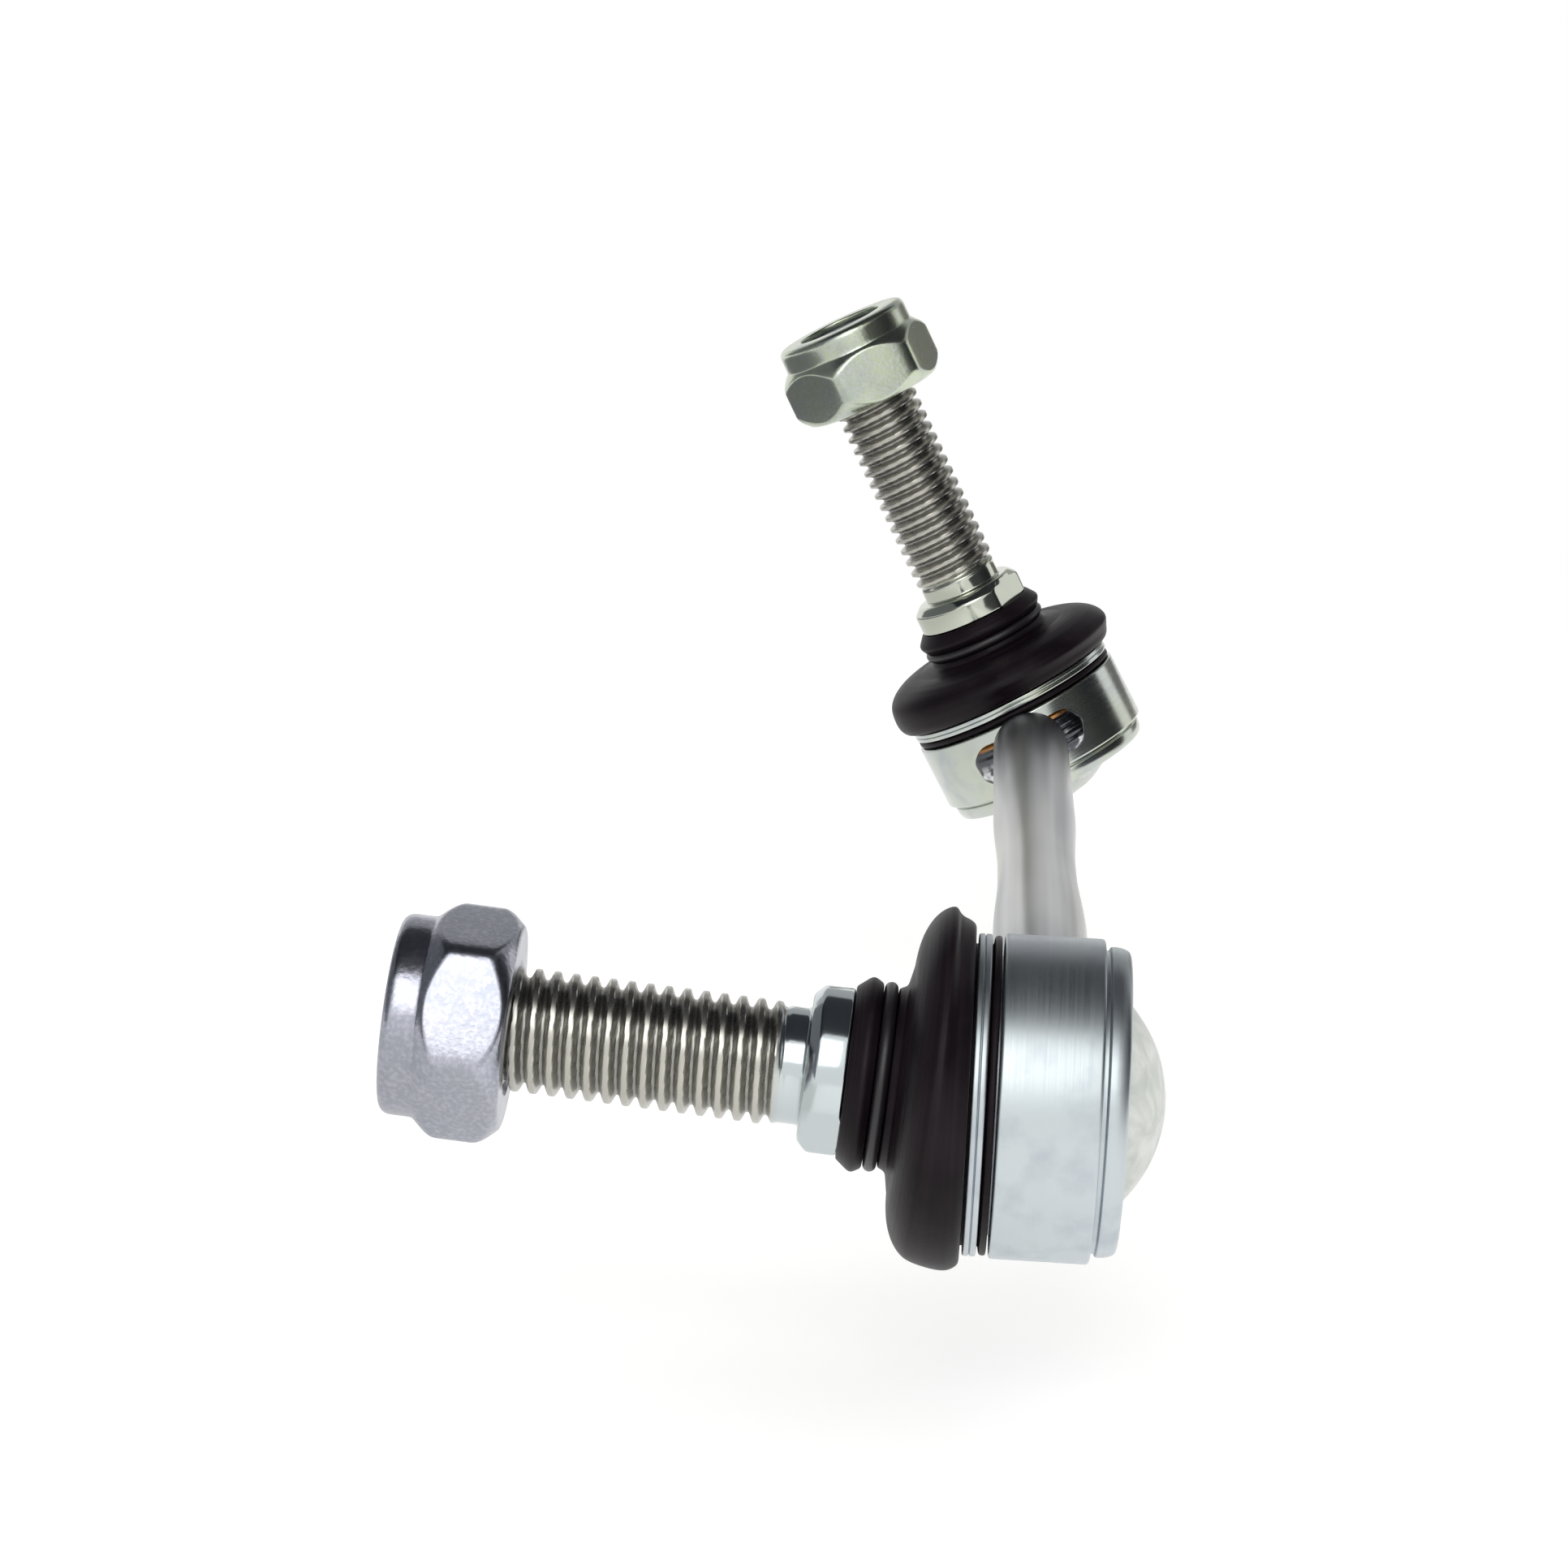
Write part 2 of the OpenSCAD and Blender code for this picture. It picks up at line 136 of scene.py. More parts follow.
class LinkStudSizes(bpy.types.PropertyGroup):
    """Sizes of a ball stud, along the stud from the ball's centre."""
    ball_r: length("Ball radius", "Radius of the ball", 8)
    neck_r: length("Neck radius", "Radius of the neck above the ball", 4)
    land_r: length("Land radius", "Radius of the land that the boot grips", 5.2)
    land_z: length("Land height", "Height at which the land starts", 11.8)
    collar_z: length("Collar underside", "Height of the collar's underside", 16.3)
    collar_r: length("Collar radius", "Radius of the collar", 6.75)
    flats_half: length("Half flats", "Half the distance across the wrench flats", 6)
    shoulder_z: length("Shoulder", "Height of the shoulder where a bracket seats", 19.6)
    shank_r: length("Shank radius", "Radius of the plain shank", 4.72)
    thread_z: length("Thread start", "Height at which the thread starts", 22.0)
    thread_r: length("Thread radius", "Outer radius of the thread", 5.0)
    thread_root_r: length("Thread root", "Radius at the thread's root", 4.2)
    pitch: length("Pitch", "Advance of the thread in one turn", 1.5)
    tip_z: length("Tip", "Height of the stud's tip", 50.2)
    near_flats: angle("Near flats turn", "Turn of the near stud's wrench flats", 137)
    far_flats: angle("Far flats turn", "Turn of the far stud's wrench flats", 58)


class LinkBootSizes(bpy.types.PropertyGroup):
    """Sizes of a rubber boot and of the two rings that hold it."""
    foot_r: length("Foot radius", "Outer radius of the boot's foot", 12.78)
    groove_r: length("Clip groove", "Radius of the groove under the base clip", 12.07)
    bulge_r: length("Bulge radius", "Largest radius of the bulge", 14.35)
    bulge_z: length("Bulge height", "Height of the bulge's widest place", 8.9)
    bulge_top: length("Bulge top", "Height of the bulge's top", 11.8)
    turn_r: length("Turn radius", "Radius where the bulge's top turns into its side", 9.45)
    wall: length("Wall", "Thickness of the rubber", 1.4)
    still_z: length("Still height", "Height up to which the boot keeps to the housing's axis", 7.2)
    follow_z: length("Follow height", "Height from which the boot keeps to the stud's axis", 9.575)
    rib_r: length("Rib radius", "Radius of the rib at the boot's lip", 7.95)
    rib_z: length("Rib height", "Height of the rib at the boot's lip", 15.0)
    lip_z: length("Lip height", "Height of the boot's lip, just under the collar", 16.27)
    neck_low: length("Neck start", "Height at which the neck grips the stud", 12.4)
    bend_low: length("Bend start", "Height from which the rubber bends with the stud", 8.2)
    bend_top: length("Bend end", "Height from which the rubber turns fully with the stud", 12.05)
    clip_r: length("Clip radius", "Outer radius of the base clip", 12.89)
    clip_t: length("Clip thickness", "Thickness of the base clip", 0.6)
    clip_z: length("Clip height", "Height of the base clip's lower edge", 5.1)
    clip_w: length("Clip width", "Width of the base clip", 1.1)
    wire_r: length("Wire radius", "Radius of the neck ring's wire", 0.55)
    wire_ring_r: length("Neck ring radius", "Radius of the neck ring", 7.09)
    wire_z: length("Neck ring height", "Height of the neck ring", 13.5)


class LinkNutSizes(bpy.types.PropertyGroup):
    """Sizes of a lock nut and its nylon insert, from the nut's bearing face."""
    half_flats: length("Half flats", "Half the distance across the nut's flats", 8.5)
    near_bearing_z: length("Near nut height", "Height of the near nut's bearing face on the stud", 43.2)
    far_bearing_z: length("Far nut height", "Height of the far nut's bearing face on the stud", 45.2)
    hex_h: length("Hexagon height", "Height of the hexagon", 7.0)
    chamfer: length("Corner chamfer", "Height of the chamfer at the hexagon's corners", 1.5)
    corner_r: length("Corner radius", "Radius to which the hexagon's corners are turned", 9.515)
    bearing_r: length("Bearing radius", "Radius of the bearing face", 8.15)
    crown_r: length("Crown radius", "Radius of the round crown", 8.1)
    crown_round: length("Crown rounding", "Rounding of the crown's outer edge", 1.7)
    nut_h: length("Nut height", "Height of the nut with its crown", 9.8)
    mouth_r: length("Crown mouth", "Radius of the crown's rolled mouth", 5.12)
    bore_r: length("Bore", "Radius of the nut's bore", 5.04)
    insert_r: length("Insert radius", "Outer radius of the nylon insert", 6.64)
    insert_low: length("Insert underside", "Height of the insert's underside", 6.86)
    insert_h: length("Insert height", "Height of the nylon insert", 2.2)
    near_turn: angle("Near nut turn", "Turn of the near nut's hexagon", 50)
    far_turn: angle("Far nut turn", "Turn of the far nut's hexagon", 43)


class LinkColours(bpy.types.PropertyGroup):
    """Colours of the finishes."""
    zinc: colour("Zinc", "Zinc plating on the housings and clips", "#C6CCD2")
    zinc_shade: colour("Zinc shade", "Darker, bluer patches of the zinc plating", "#9FA8B4")
    crystal: colour("Crystal", "Brightest crystals of the zinc plating", "#D2D0DE")
    near_nut: colour("Near nut", "Zinc plating on the near nut", "#ACAEB8")
    far_nut: colour("Far nut", "Zinc plating on the far nut, a little greenish", "#C6D0B4")
    near_film: colour("Near film", "Tint of the passivation on the near joint", "#C8D0D2")
    far_film: colour("Far film", "Tint of the passivation on the far joint", "#C6CBBE")
    # The thread's roots are coloured darker than its crests: painted shade in the roots
    thread_root_shade: colour("Thread", "Zinc in the rolled thread's roots", "#9A9994")
    thread_crest: colour("Thread crest", "Zinc on the rolled thread's crests", "#C2C0B8")
    bar: colour("Rod", "Zinc plating on the drawn rod", "#DEDEDA")
    bar_shade: colour("Rod shade", "Dull patches of the rod", "#BCBEC0")
    bar_heat: colour("Rod heat tint", "Purple grey of the rod beside a weld", "#3E3C56")
    weld: colour("Weld", "Solid weld metal", "#585A5E")
    weld_straw: colour("Weld straw", "Straw heat tint at the hot end of a weld", "#E0983F")
    # Bright specks coloured in at a weld's cold end are painted highlights, standing in for glints
    painted_weld_glints: colour("Spatter", "Bright specks at the weld's end", "#D6D8DA")
    rubber: colour("Rubber", "Chloroprene rubber of the boots", "#120A10")
    bloom: colour("Bloom", "Greyish bloom on the rubber", "#221A20")
    wire: colour("Wire", "Phosphated spring wire", "#1C181C")
    acetal: colour("Acetal", "Milky acetal of the ball seat", "#EEF0EC")
    acetal_shade: colour("Acetal shade", "Flow marks in the acetal", "#D3D8D2")
    # The insert's grey is partly its own and partly painted shade, so that the hole inside the nut's crown
    # looks dark
    nylon: colour("Nylon", "Nylon of the nut's insert", "#7C8288")
    floor: colour("Floor", "Pale paper of the floor", "#F4F4F2")
    back_card: colour("Back card", "Grey card high behind the link that the metal reflects", "#AEAFB0")
    flag: colour("Dark flag", "Dark card above the link that the metal reflects", "#13161F")
    left_card: colour("Left card", "Grey card to the left that the metal reflects", "#6E7074")
    right_card: colour("Right card", "Dark card to the right that the metal reflects", "#1C1E24")
    corner_card: colour("Corner card", "Grey card far behind on the right that the metal reflects", "#716E6B")
    low_card: colour("Low card", "Grey sheet on the floor on the left that the metal reflects", "#727278")


def sizes(group):
    """One group of sizes: lengths in metres, angles in radians."""
    return getattr(bpy.context.scene, group)


def joint(name):
    """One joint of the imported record."""
    return next(item for item in frame["joints"] if item["name"] == name)


def unit(vector):
    """A vector scaled to length one."""
    vector = np.asarray(vector, float)
    return vector / np.linalg.norm(vector)


def turn_between(first, second):
    """The smallest rotation that carries one unit vector onto another, as a 3 by 3 matrix."""
    axis = np.cross(first, second)
    cross = np.array([[0, -axis[2], axis[1]], [axis[2], 0, -axis[0]], [-axis[1], axis[0], 0]])
    return np.eye(3) + cross + cross @ cross / (1 + first @ second)


class BallJoint:
    """Place of one ball joint: its ball's centre, and the axes of its housing and its swung stud as columns.

    z runs along the housing or stud, and the housing's x points at the rod.
    """

    def __init__(self, end):
        heading = joint(f"{end}_swing_heading")
        self.ball = np.array(heading["pos_m"])
        along = unit(heading["axis"])
        to_rod = np.array([0.0, 1.0 if end == "near" else -1.0, 0.0])
        self.housing = np.column_stack([to_rod, np.cross(along, to_rod), along])
        stud_axis = unit(joint(f"{end}_stud_spin")["axis"])
        self.stud = turn_between(along, stud_axis) @ self.housing
        lean = self.housing.T @ stud_axis
        self.tilt = math.acos(lean[2])
        self.heading = math.atan2(lean[1], lean[0])

    def in_housing(self, points):
        """Points in the housing's axes, moved to the row frame."""
        return points @ self.housing.T + self.ball

    def in_stud(self, points):
        """Points in the stud's axes, moved to the row frame."""
        return points @ self.stud.T + self.ball


def rounded(corners, closed, steps=5):
    """A section whose corners are rounded: each corner is (radius, height, reach).

    Every corner P becomes the curve (1-t)^2 A + 2t(1-t) P + t^2 C, where A and C lie on its two edges at the
    given reach, or at under half the edge where that is shorter.
    """
    most_of_edge = 0.48
    corners = np.asarray(corners, float)
    place = corners[:, :2]
    before = np.roll(place, 1, axis=0) - place
    after = np.roll(place, -1, axis=0) - place
    before_length = np.linalg.norm(before, axis=1, keepdims=True)
    after_length = np.linalg.norm(after, axis=1, keepdims=True)
    reach = np.minimum(corners[:, 2:3], most_of_edge * np.minimum(before_length, after_length))
    start = (place + before / before_length * reach)[:, None]
    stop = (place + after / after_length * reach)[:, None]
    t = np.linspace(0, 1, steps)[None, :, None]
    curves = (1 - t) ** 2 * start + 2 * t * (1 - t) * place[:, None] + t ** 2 * stop
    if closed:
        return curves.reshape(-1, 2)
    return np.vstack([place[:1], curves[1:-1].reshape(-1, 2), place[-1:]])


def ring_angles(count):
    """Equal angles round a full turn."""
    return np.arange(count) * 2 * math.pi / count


def revolved(radius, height, angles):
    """A surface of revolution: (r cos a, r sin a, h), with r and h given per row or per row and angle."""
    radius = np.broadcast_to(radius if np.ndim(radius) == 2 else radius[:, None], (len(radius), len(angles)))
    height = np.broadcast_to(height if np.ndim(height) == 2 else height[:, None], radius.shape)
    return np.stack([radius * np.cos(angles), radius * np.sin(angles), height], axis=2)


def skin(name, points, closed_section, sharp_degrees=32):
    """Makes a closed mesh from a grid of rows round a ring.

    Neighbouring rows and columns are joined by four-sided faces, the last column joins the first, and the
    rows either close on themselves or end in a pole at each end. UV runs in millimetres round and along the
    section.
    """
    rows, columns, _ = points.shape
    flat = points.reshape(-1, 3)
    row = np.arange(rows if closed_section else rows - 1)
    column = np.arange(columns)
    low, high = row, (row + 1) % rows
    left, right = column, (column + 1) % columns
    quads = np.stack([
        low[:, None] * columns + left, low[:, None] * columns + right,
        high[:, None] * columns + right, high[:, None] * columns + left], axis=2).reshape(-1, 4)
    step = np.linalg.norm(np.diff(points, axis=0, append=points[:1]), axis=2).mean(axis=1) / MM
    along = np.concatenate([[0], np.cumsum(step)])
    spread = np.linalg.norm(points - points.mean(axis=1, keepdims=True), axis=2).max() / MM
    around = np.arange(columns + 1) * 2 * math.pi / columns * spread
    uv = np.empty((len(row), columns, 4, 2))
    uv[:, :, 0, 0] = uv[:, :, 3, 0] = around[:-1]
    uv[:, :, 1, 0] = uv[:, :, 2, 0] = around[1:]
    uv[:, :, 0, 1] = uv[:, :, 1, 1] = along[row][:, None]
    uv[:, :, 2, 1] = uv[:, :, 3, 1] = along[row + 1][:, None]
    corners, starts, uv = quads.reshape(-1), np.arange(len(quads)) * 4, uv.reshape(-1, 2)
    if not closed_section:
        poles = len(flat) + np.arange(2)
        flat = np.vstack([flat, points[0].mean(axis=0), points[-1].mean(axis=0)])
        last = (rows - 1) * columns
        fans = np.vstack([
            np.stack([np.full(columns, poles[0]), right, left], axis=1),
            np.stack([np.full(columns, poles[1]), last + left, last + right], axis=1)])
        fan_uv = np.zeros((2, columns, 3, 2))
        fan_uv[:, :, :, 0] = around[:-1][None, :, None]
        fan_uv[0, :, :, 1], fan_uv[1, :, :, 1] = along[0], along[rows - 1]
        starts = np.concatenate([starts, len(corners) + np.arange(len(fans)) * 3])
        corners = np.concatenate([corners, fans.reshape(-1)])
        uv = np.vstack([uv, fan_uv.reshape(-1, 2)])
    a, b, c, d = (flat[quads[:, i]] for i in range(4))
    middle = flat.mean(axis=0)
    volume = np.einsum("ij,ij->", a - middle, np.cross(b - middle, c - middle))
    volume += np.einsum("ij,ij->", a - middle, np.cross(c - middle, d - middle))
    if volume < 0:
        lengths = np.diff(np.append(starts, len(corners)))
        turned = np.repeat(starts, lengths) + np.repeat(lengths, lengths) - 1
        turned -= np.arange(len(corners)) - np.repeat(starts, lengths)
        corners, uv = corners[turned], uv[turned]
    mesh = bpy.data.meshes.new(name)
    mesh.vertices.add(len(flat))
    mesh.vertices.foreach_set("co", flat.astype(np.float32).ravel())
    mesh.loops.add(len(corners))
    mesh.loops.foreach_set("vertex_index", corners.astype(np.int32))
    mesh.polygons.add(len(starts))
    mesh.polygons.foreach_set("loop_start", starts.astype(np.int32))
    mesh.update(calc_edges=True)
    mesh.uv_layers.new(name="section_mm").data.foreach_set("uv", uv.astype(np.float32).ravel())
    mesh.polygons.foreach_set("use_smooth", np.ones(len(starts), bool))
    mesh.set_sharp_from_angle(angle=math.radians(sharp_degrees))
    if mesh.validate():
        raise RuntimeError(f"{name}: the mesh had faults")
    piece = bpy.data.objects.new(name, mesh)
    bpy.context.scene.collection.objects.link(piece)
    return piece


def dress(piece, node, finish):
    """Gives a piece its finish and its material slot, and lets it stand for its CAD node."""
    piece.data.materials.append(finish)
    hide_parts(node)


def note(piece, name, values):
    """Stores one number for each vertex, which a finish reads by its name.

    The bare name heat isn't used, because the renderer keeps it for volumes.
    """
    values = np.asarray(values, np.float32)
    piece.data.attributes.new(name, "FLOAT", "POINT").data.foreach_set("value", values)


def join(tree, node, inputs):
    """Sets a node's inputs: each is a constant, a socket, or a node whose used output is linked."""
    for key, value in inputs.items():
        if isinstance(value, bpy.types.Node):
            value = value.outputs[USED_OUTPUT.get(value.bl_idname, 0)]
        if isinstance(value, bpy.types.NodeSocket):
            tree.links.new(value, node.inputs[key])
        else:
            node.inputs[key].default_value = value


def add(tree, kind, inputs=None, **settings):
    """Adds one shader node with its settings, and sets or links its inputs."""
    node = tree.nodes.new(f"ShaderNode{kind}")
    for key, value in settings.items():
        setattr(node, key, value)
    join(tree, node, inputs or {})
    return node


def start_finish(name):
    """A new material, its tree, its shader, and its texture coordinates by name."""
    finish = bpy.data.materials.new(name)
    finish.use_nodes = True
    tree = finish.node_tree
    tree.nodes.clear()
    shader = add(tree, "BsdfPrincipled")
    add(tree, "OutputMaterial", {"Surface": shader})
    return finish, tree, shader, add(tree, "TexCoord").outputs


def rgba(name):
    """One of the colour properties with full opacity."""
    return (*getattr(bpy.context.scene.link_colours, name), 1.0)


def turned_zinc(film):
    """Zinc plated free-cutting steel, turned: cool silver with fine lines round the barrel and dull blotches.

    The near joint is satin, so its highlight is broad, and the far one is smoother and mirrors more.
    """
    smooth, dullest = (0.32, 0.48) if film == "near_film" else (0.12, 0.28)
    finish, tree, shader, place = start_finish(f"turned zinc plated steel {film}")
    # Tool lines every 0.2 mm along the section, drawn long round the barrel
    lines = add(tree, "Mapping", {"Vector": place["UV"], "Scale": (0.03, 5.0, 1.0)})
    grooves = add(tree, "TexNoise", {"Vector": lines, "Scale": 1.0, "Detail": 3.0})
    # Dull blotches of the plating about 4 mm across, on a passivation film that varies over 14 mm
    clouds = add(tree, "TexNoise", {"Vector": place["Object"], "Scale": 260.0, "Detail": 5.0})
    dull = add(tree, "MapRange", {"Value": clouds, "From Min": 0.5, "From Max": 0.8, "To Max": 0.6})
    veil = add(tree, "TexNoise", {"Vector": place["Object"], "Scale": 70.0})
    cover = add(tree, "MapRange", {"Value": veil, "From Min": 0.3, "From Max": 0.6})
    coat = add(tree, "Mix", {SHARE: cover, FIRST: rgba("zinc"), SECOND: rgba(film)}, data_type="RGBA")
    tint = add(tree, "Mix", {SHARE: dull, FIRST: coat, SECOND: rgba("zinc_shade")}, data_type="RGBA")
    rough = add(tree, "MapRange", {"Value": grooves, "To Min": smooth, "To Max": dullest})
    bump = add(tree, "Bump", {"Height": grooves, "Strength": 0.12, "Distance": 0.05 * MM})
    join(tree, shader, {"Base Color": tint, "Roughness": rough, "Normal": bump, "Metallic": 1.0})
    return finish


def formed_zinc(coat):
    """Zinc plated cold-formed steel: bright silver with a fine crystalline grain that sparkles."""
    finish, tree, shader, place = start_finish(f"cold-formed zinc plated steel {coat}")
    # Crystals of the plating about 0.4 mm across, and dull blotches about 4 mm across
    grain = add(tree, "TexNoise", {"Vector": place["Object"], "Scale": 2600.0, "Detail": 3.0})
    sparkle = add(tree, "MapRange", {"Value": grain, "From Min": 0.42, "From Max": 0.7, "To Max": 0.5})
    clouds = add(tree, "TexNoise", {"Vector": place["Object"], "Scale": 260.0, "Detail": 6.0})
    dull = add(tree, "MapRange", {"Value": clouds, "From Min": 0.46, "From Max": 0.78, "To Max": 0.6})
    tint = add(tree, "Mix", {SHARE: dull, FIRST: rgba(coat), SECOND: rgba("zinc_shade")}, data_type="RGBA")
    lit = add(tree, "Mix", {SHARE: sparkle, FIRST: tint, SECOND: rgba("crystal")}, data_type="RGBA")
    rough = add(tree, "MapRange", {"Value": clouds, "To Min": 0.16, "To Max": 0.34})
    bump = add(tree, "Bump", {"Height": grain, "Strength": 0.26, "Distance": 0.06 * MM})
    join(tree, shader, {"Base Color": lit, "Roughness": rough, "Normal": bump, "Metallic": 1.0})
    return finish


def rolled_thread_zinc(film):
    """Zinc plated steel with a rolled thread: bright crests, and warmer roots darkened with painted shade."""
    finish, tree, shader, place = start_finish(f"rolled thread zinc plated steel {film}")
    crest = add(tree, "Attribute", attribute_name="crest")
    plain = add(tree, "Attribute", attribute_name="plain")
    # Dull spots about 2 mm across
    clouds = add(tree, "TexNoise", {"Vector": place["Object"], "Scale": 500.0, "Detail": 4.0})
    # Painted shade: by the thread's depth, the roots get a darker colour than the crests
    tint = add(tree, "Mix", {SHARE: crest, FIRST: rgba("thread_root_shade"), SECOND: rgba("thread_crest")},
               data_type="RGBA")
    coat = add(tree, "Mix", {SHARE: plain, FIRST: tint, SECOND: rgba(film)}, data_type="RGBA")
    thread_rough = add(tree, "MapRange", {"Value": clouds, "To Min": 0.2, "To Max": 0.36})
    # The turned collar is smoother than the rolled thread
    turned = add(tree, "MapRange", {"Value": plain, "To Min": 1.0, "To Max": 0.45})
    rough = add(tree, "Math", {0: thread_rough, 1: turned}, operation="MULTIPLY")
    bump = add(tree, "Bump", {"Height": clouds, "Strength": 0.2, "Distance": 0.06 * MM})
    join(tree, shader, {"Base Color": coat, "Roughness": rough, "Normal": bump, "Metallic": 1.0})
    return finish


def drawn_bar_zinc():
    """Zinc plated drawn bar: dull light grey with faint lines along it, and purple beside the welds."""
    finish, tree, shader, place = start_finish("drawn bar zinc plated steel")
    # Drawing lines about 1.5 mm apart round the bar, stretched along it
    lines = add(tree, "Mapping", {"Vector": place["UV"], "Scale": (0.7, 0.006, 1.0)})
    drawn = add(tree, "TexNoise", {"Vector": lines, "Scale": 1.0, "Detail": 1.0})
    # Dull patches 8 mm across, drawn long along the bar
    stretched = add(tree, "Mapping", {"Vector": place["Object"], "Scale": (1.0, 0.15, 1.0)})
    clouds = add(tree, "TexNoise", {"Vector": stretched, "Scale": 120.0, "Detail": 2.0})
    share = add(tree, "MapRange", {"Value": clouds, "From Min": 0.35, "From Max": 0.65})
    grey = add(tree, "Mix", {SHARE: share, FIRST: rgba("bar_shade"), SECOND: rgba("bar")}, data_type="RGBA")
    heat = add(tree, "Attribute", attribute_name="weld_heat")
    # The heat tint is streaky along the bar
    streak = add(tree, "MapRange", {"Value": drawn, "From Min": 0.3, "From Max": 0.7, "To Min": 0.55,
                                    "To Max": 1.0})
    tinted = add(tree, "Math", {0: heat, 1: streak}, operation="MULTIPLY")
    tint = add(tree, "Mix", {SHARE: tinted, FIRST: grey, SECOND: rgba("bar_heat")}, data_type="RGBA")
    rough = add(tree, "MapRange", {"Value": drawn, "To Min": 0.26, "To Max": 0.46})
    bump = add(tree, "Bump", {"Height": drawn, "Strength": 0.5, "Distance": 0.05 * MM})
    join(tree, shader, {"Base Color": tint, "Roughness": rough, "Normal": bump, "Metallic": 1.0})
    return finish


def weld_metal():
    """Arc weld steel under zinc: dark shiny pool, straw tint at its hot end, and painted highlights as bright
    specks at the other.
    """
    finish, tree, shader, place = start_finish("arc weld steel")
    heat = add(tree, "Attribute", attribute_name="weld_heat")
    # Ripples, and specks of painted highlight, about 1.5 mm across
    blotch = add(tree, "TexNoise", {"Vector": place["Object"], "Scale": 650.0, "Detail": 1.0})
    hot = add(tree, "MapRange", {"Value": heat, "From Min": 0.84, "From Max": 0.98})
    cold = add(tree, "MapRange", {"Value": heat, "From Min": 0.6, "From Max": 0.35})
    speck = add(tree, "MapRange", {"Value": blotch, "From Min": 0.5, "From Max": 0.58})
    # Painted highlights: bright specks of colour at the weld's cold end
    bright = add(tree, "Math", {0: cold, 1: speck}, operation="MULTIPLY")
    straw = add(tree, "Mix", {SHARE: hot, FIRST: rgba("weld"), SECOND: rgba("weld_straw")}, data_type="RGBA")
    tint = add(tree, "Mix", {SHARE: bright, FIRST: straw, SECOND: rgba("painted_weld_glints")}, data_type="RGBA")
    rough = add(tree, "MapRange", {"Value": blotch, "To Min": 0.12, "To Max": 0.3})
    bump = add(tree, "Bump", {"Height": blotch, "Strength": 0.5, "Distance": 0.3 * MM})
    join(tree, shader, {"Base Color": tint, "Roughness": rough, "Normal": bump, "Metallic": 1.0})
    return finish


def boot_rubber():
    """Moulded chloroprene rubber: purple black with a soft sheen, fine mould rings and a greyish bloom."""
    finish, tree, shader, place = start_finish("moulded chloroprene rubber")
    # Bloom in patches about 6 mm across, and the mould's grain of 0.4 mm
    bloom = add(tree, "TexNoise", {"Vector": place["Object"], "Scale": 180.0, "Detail": 6.0})
    grain = add(tree, "TexNoise", {"Vector": place["Object"], "Scale": 2600.0, "Detail": 2.0})
    # Rings left by the mould about every 0.9 mm along the section
    lines = add(tree, "Mapping", {"Vector": place["UV"], "Scale": (0.01, 1.1, 1.0)})
    rings = add(tree, "TexNoise", {"Vector": lines, "Scale": 1.0, "Detail": 2.0})
    height = add(tree, "Math", {0: grain, 1: 0.15, 2: rings}, operation="MULTIPLY_ADD")
    dusty = add(tree, "Math", {0: bloom, 1: rings}, operation="MULTIPLY")
    share = add(tree, "MapRange", {"Value": dusty, "From Min": 0.2, "From Max": 0.42})
    deep = add(tree, "Mix", {SHARE: share, FIRST: rgba("rubber"), SECOND: rgba("bloom")}, data_type="RGBA")
    rough = add(tree, "MapRange", {"Value": bloom, "To Min": 0.32, "To Max": 0.54})
    bump = add(tree, "Bump", {"Height": height, "Strength": 0.4, "Distance": 0.2 * MM})
    join(tree, shader, {"Base Color": deep, "Roughness": rough, "Normal": bump, "IOR": 1.52,
                        "Specular IOR Level": 0.15})
    return finish


def phosphated_wire():
    """Phosphated spring wire: black steel with a grey sheen."""
    finish, tree, shader, place = start_finish("phosphated spring wire")
    # Crystals of the phosphate about 0.3 mm across
    crystal = add(tree, "TexNoise", {"Vector": place["Object"], "Scale": 3000.0, "Detail": 3.0})
    rough = add(tree, "MapRange", {"Value": crystal, "To Min": 0.3, "To Max": 0.5})
    join(tree, shader, {"Base Color": rgba("wire"), "Roughness": rough, "IOR": 1.6})
    return finish


def moulded_acetal():
    """Moulded acetal: milky, slightly see-through white with faint flow swirls."""
    finish, tree, shader, place = start_finish("moulded acetal")
    # Swirls about 4 mm across
    swirl = add(tree, "TexNoise", {"Vector": place["Object"], "Scale": 260.0, "Detail": 5.0,
                                   "Distortion": 1.6})
    share = add(tree, "MapRange", {"Value": swirl, "From Min": 0.35, "From Max": 0.65})
    tint = add(tree, "Mix", {SHARE: share, FIRST: rgba("acetal_shade"), SECOND: rgba("acetal")},
               data_type="RGBA")
    rough = add(tree, "MapRange", {"Value": swirl, "To Min": 0.28, "To Max": 0.45})
    join(tree, shader, {"Base Color": tint, "Roughness": rough, "IOR": 1.48, "Subsurface Weight": 0.2,
                        "Subsurface Radius": (1.0, 0.9, 0.8), "Subsurface Scale": 1.0 * MM})
    return finish


def moulded_nylon():
    """Moulded nylon: grey and matt, the grey partly its own and partly painted shade in the nut's hole."""
    finish, tree, shader, place = start_finish("moulded nylon")
    # Grain about 1 mm across
    grain = add(tree, "TexNoise", {"Vector": place["Object"], "Scale": 900.0, "Detail": 3.0})
    rough = add(tree, "MapRange", {"Value": grain, "To Min": 0.45, "To Max": 0.6})
    join(tree, shader, {"Base Color": rgba("nylon"), "Roughness": rough, "IOR": 1.53})
    return finish


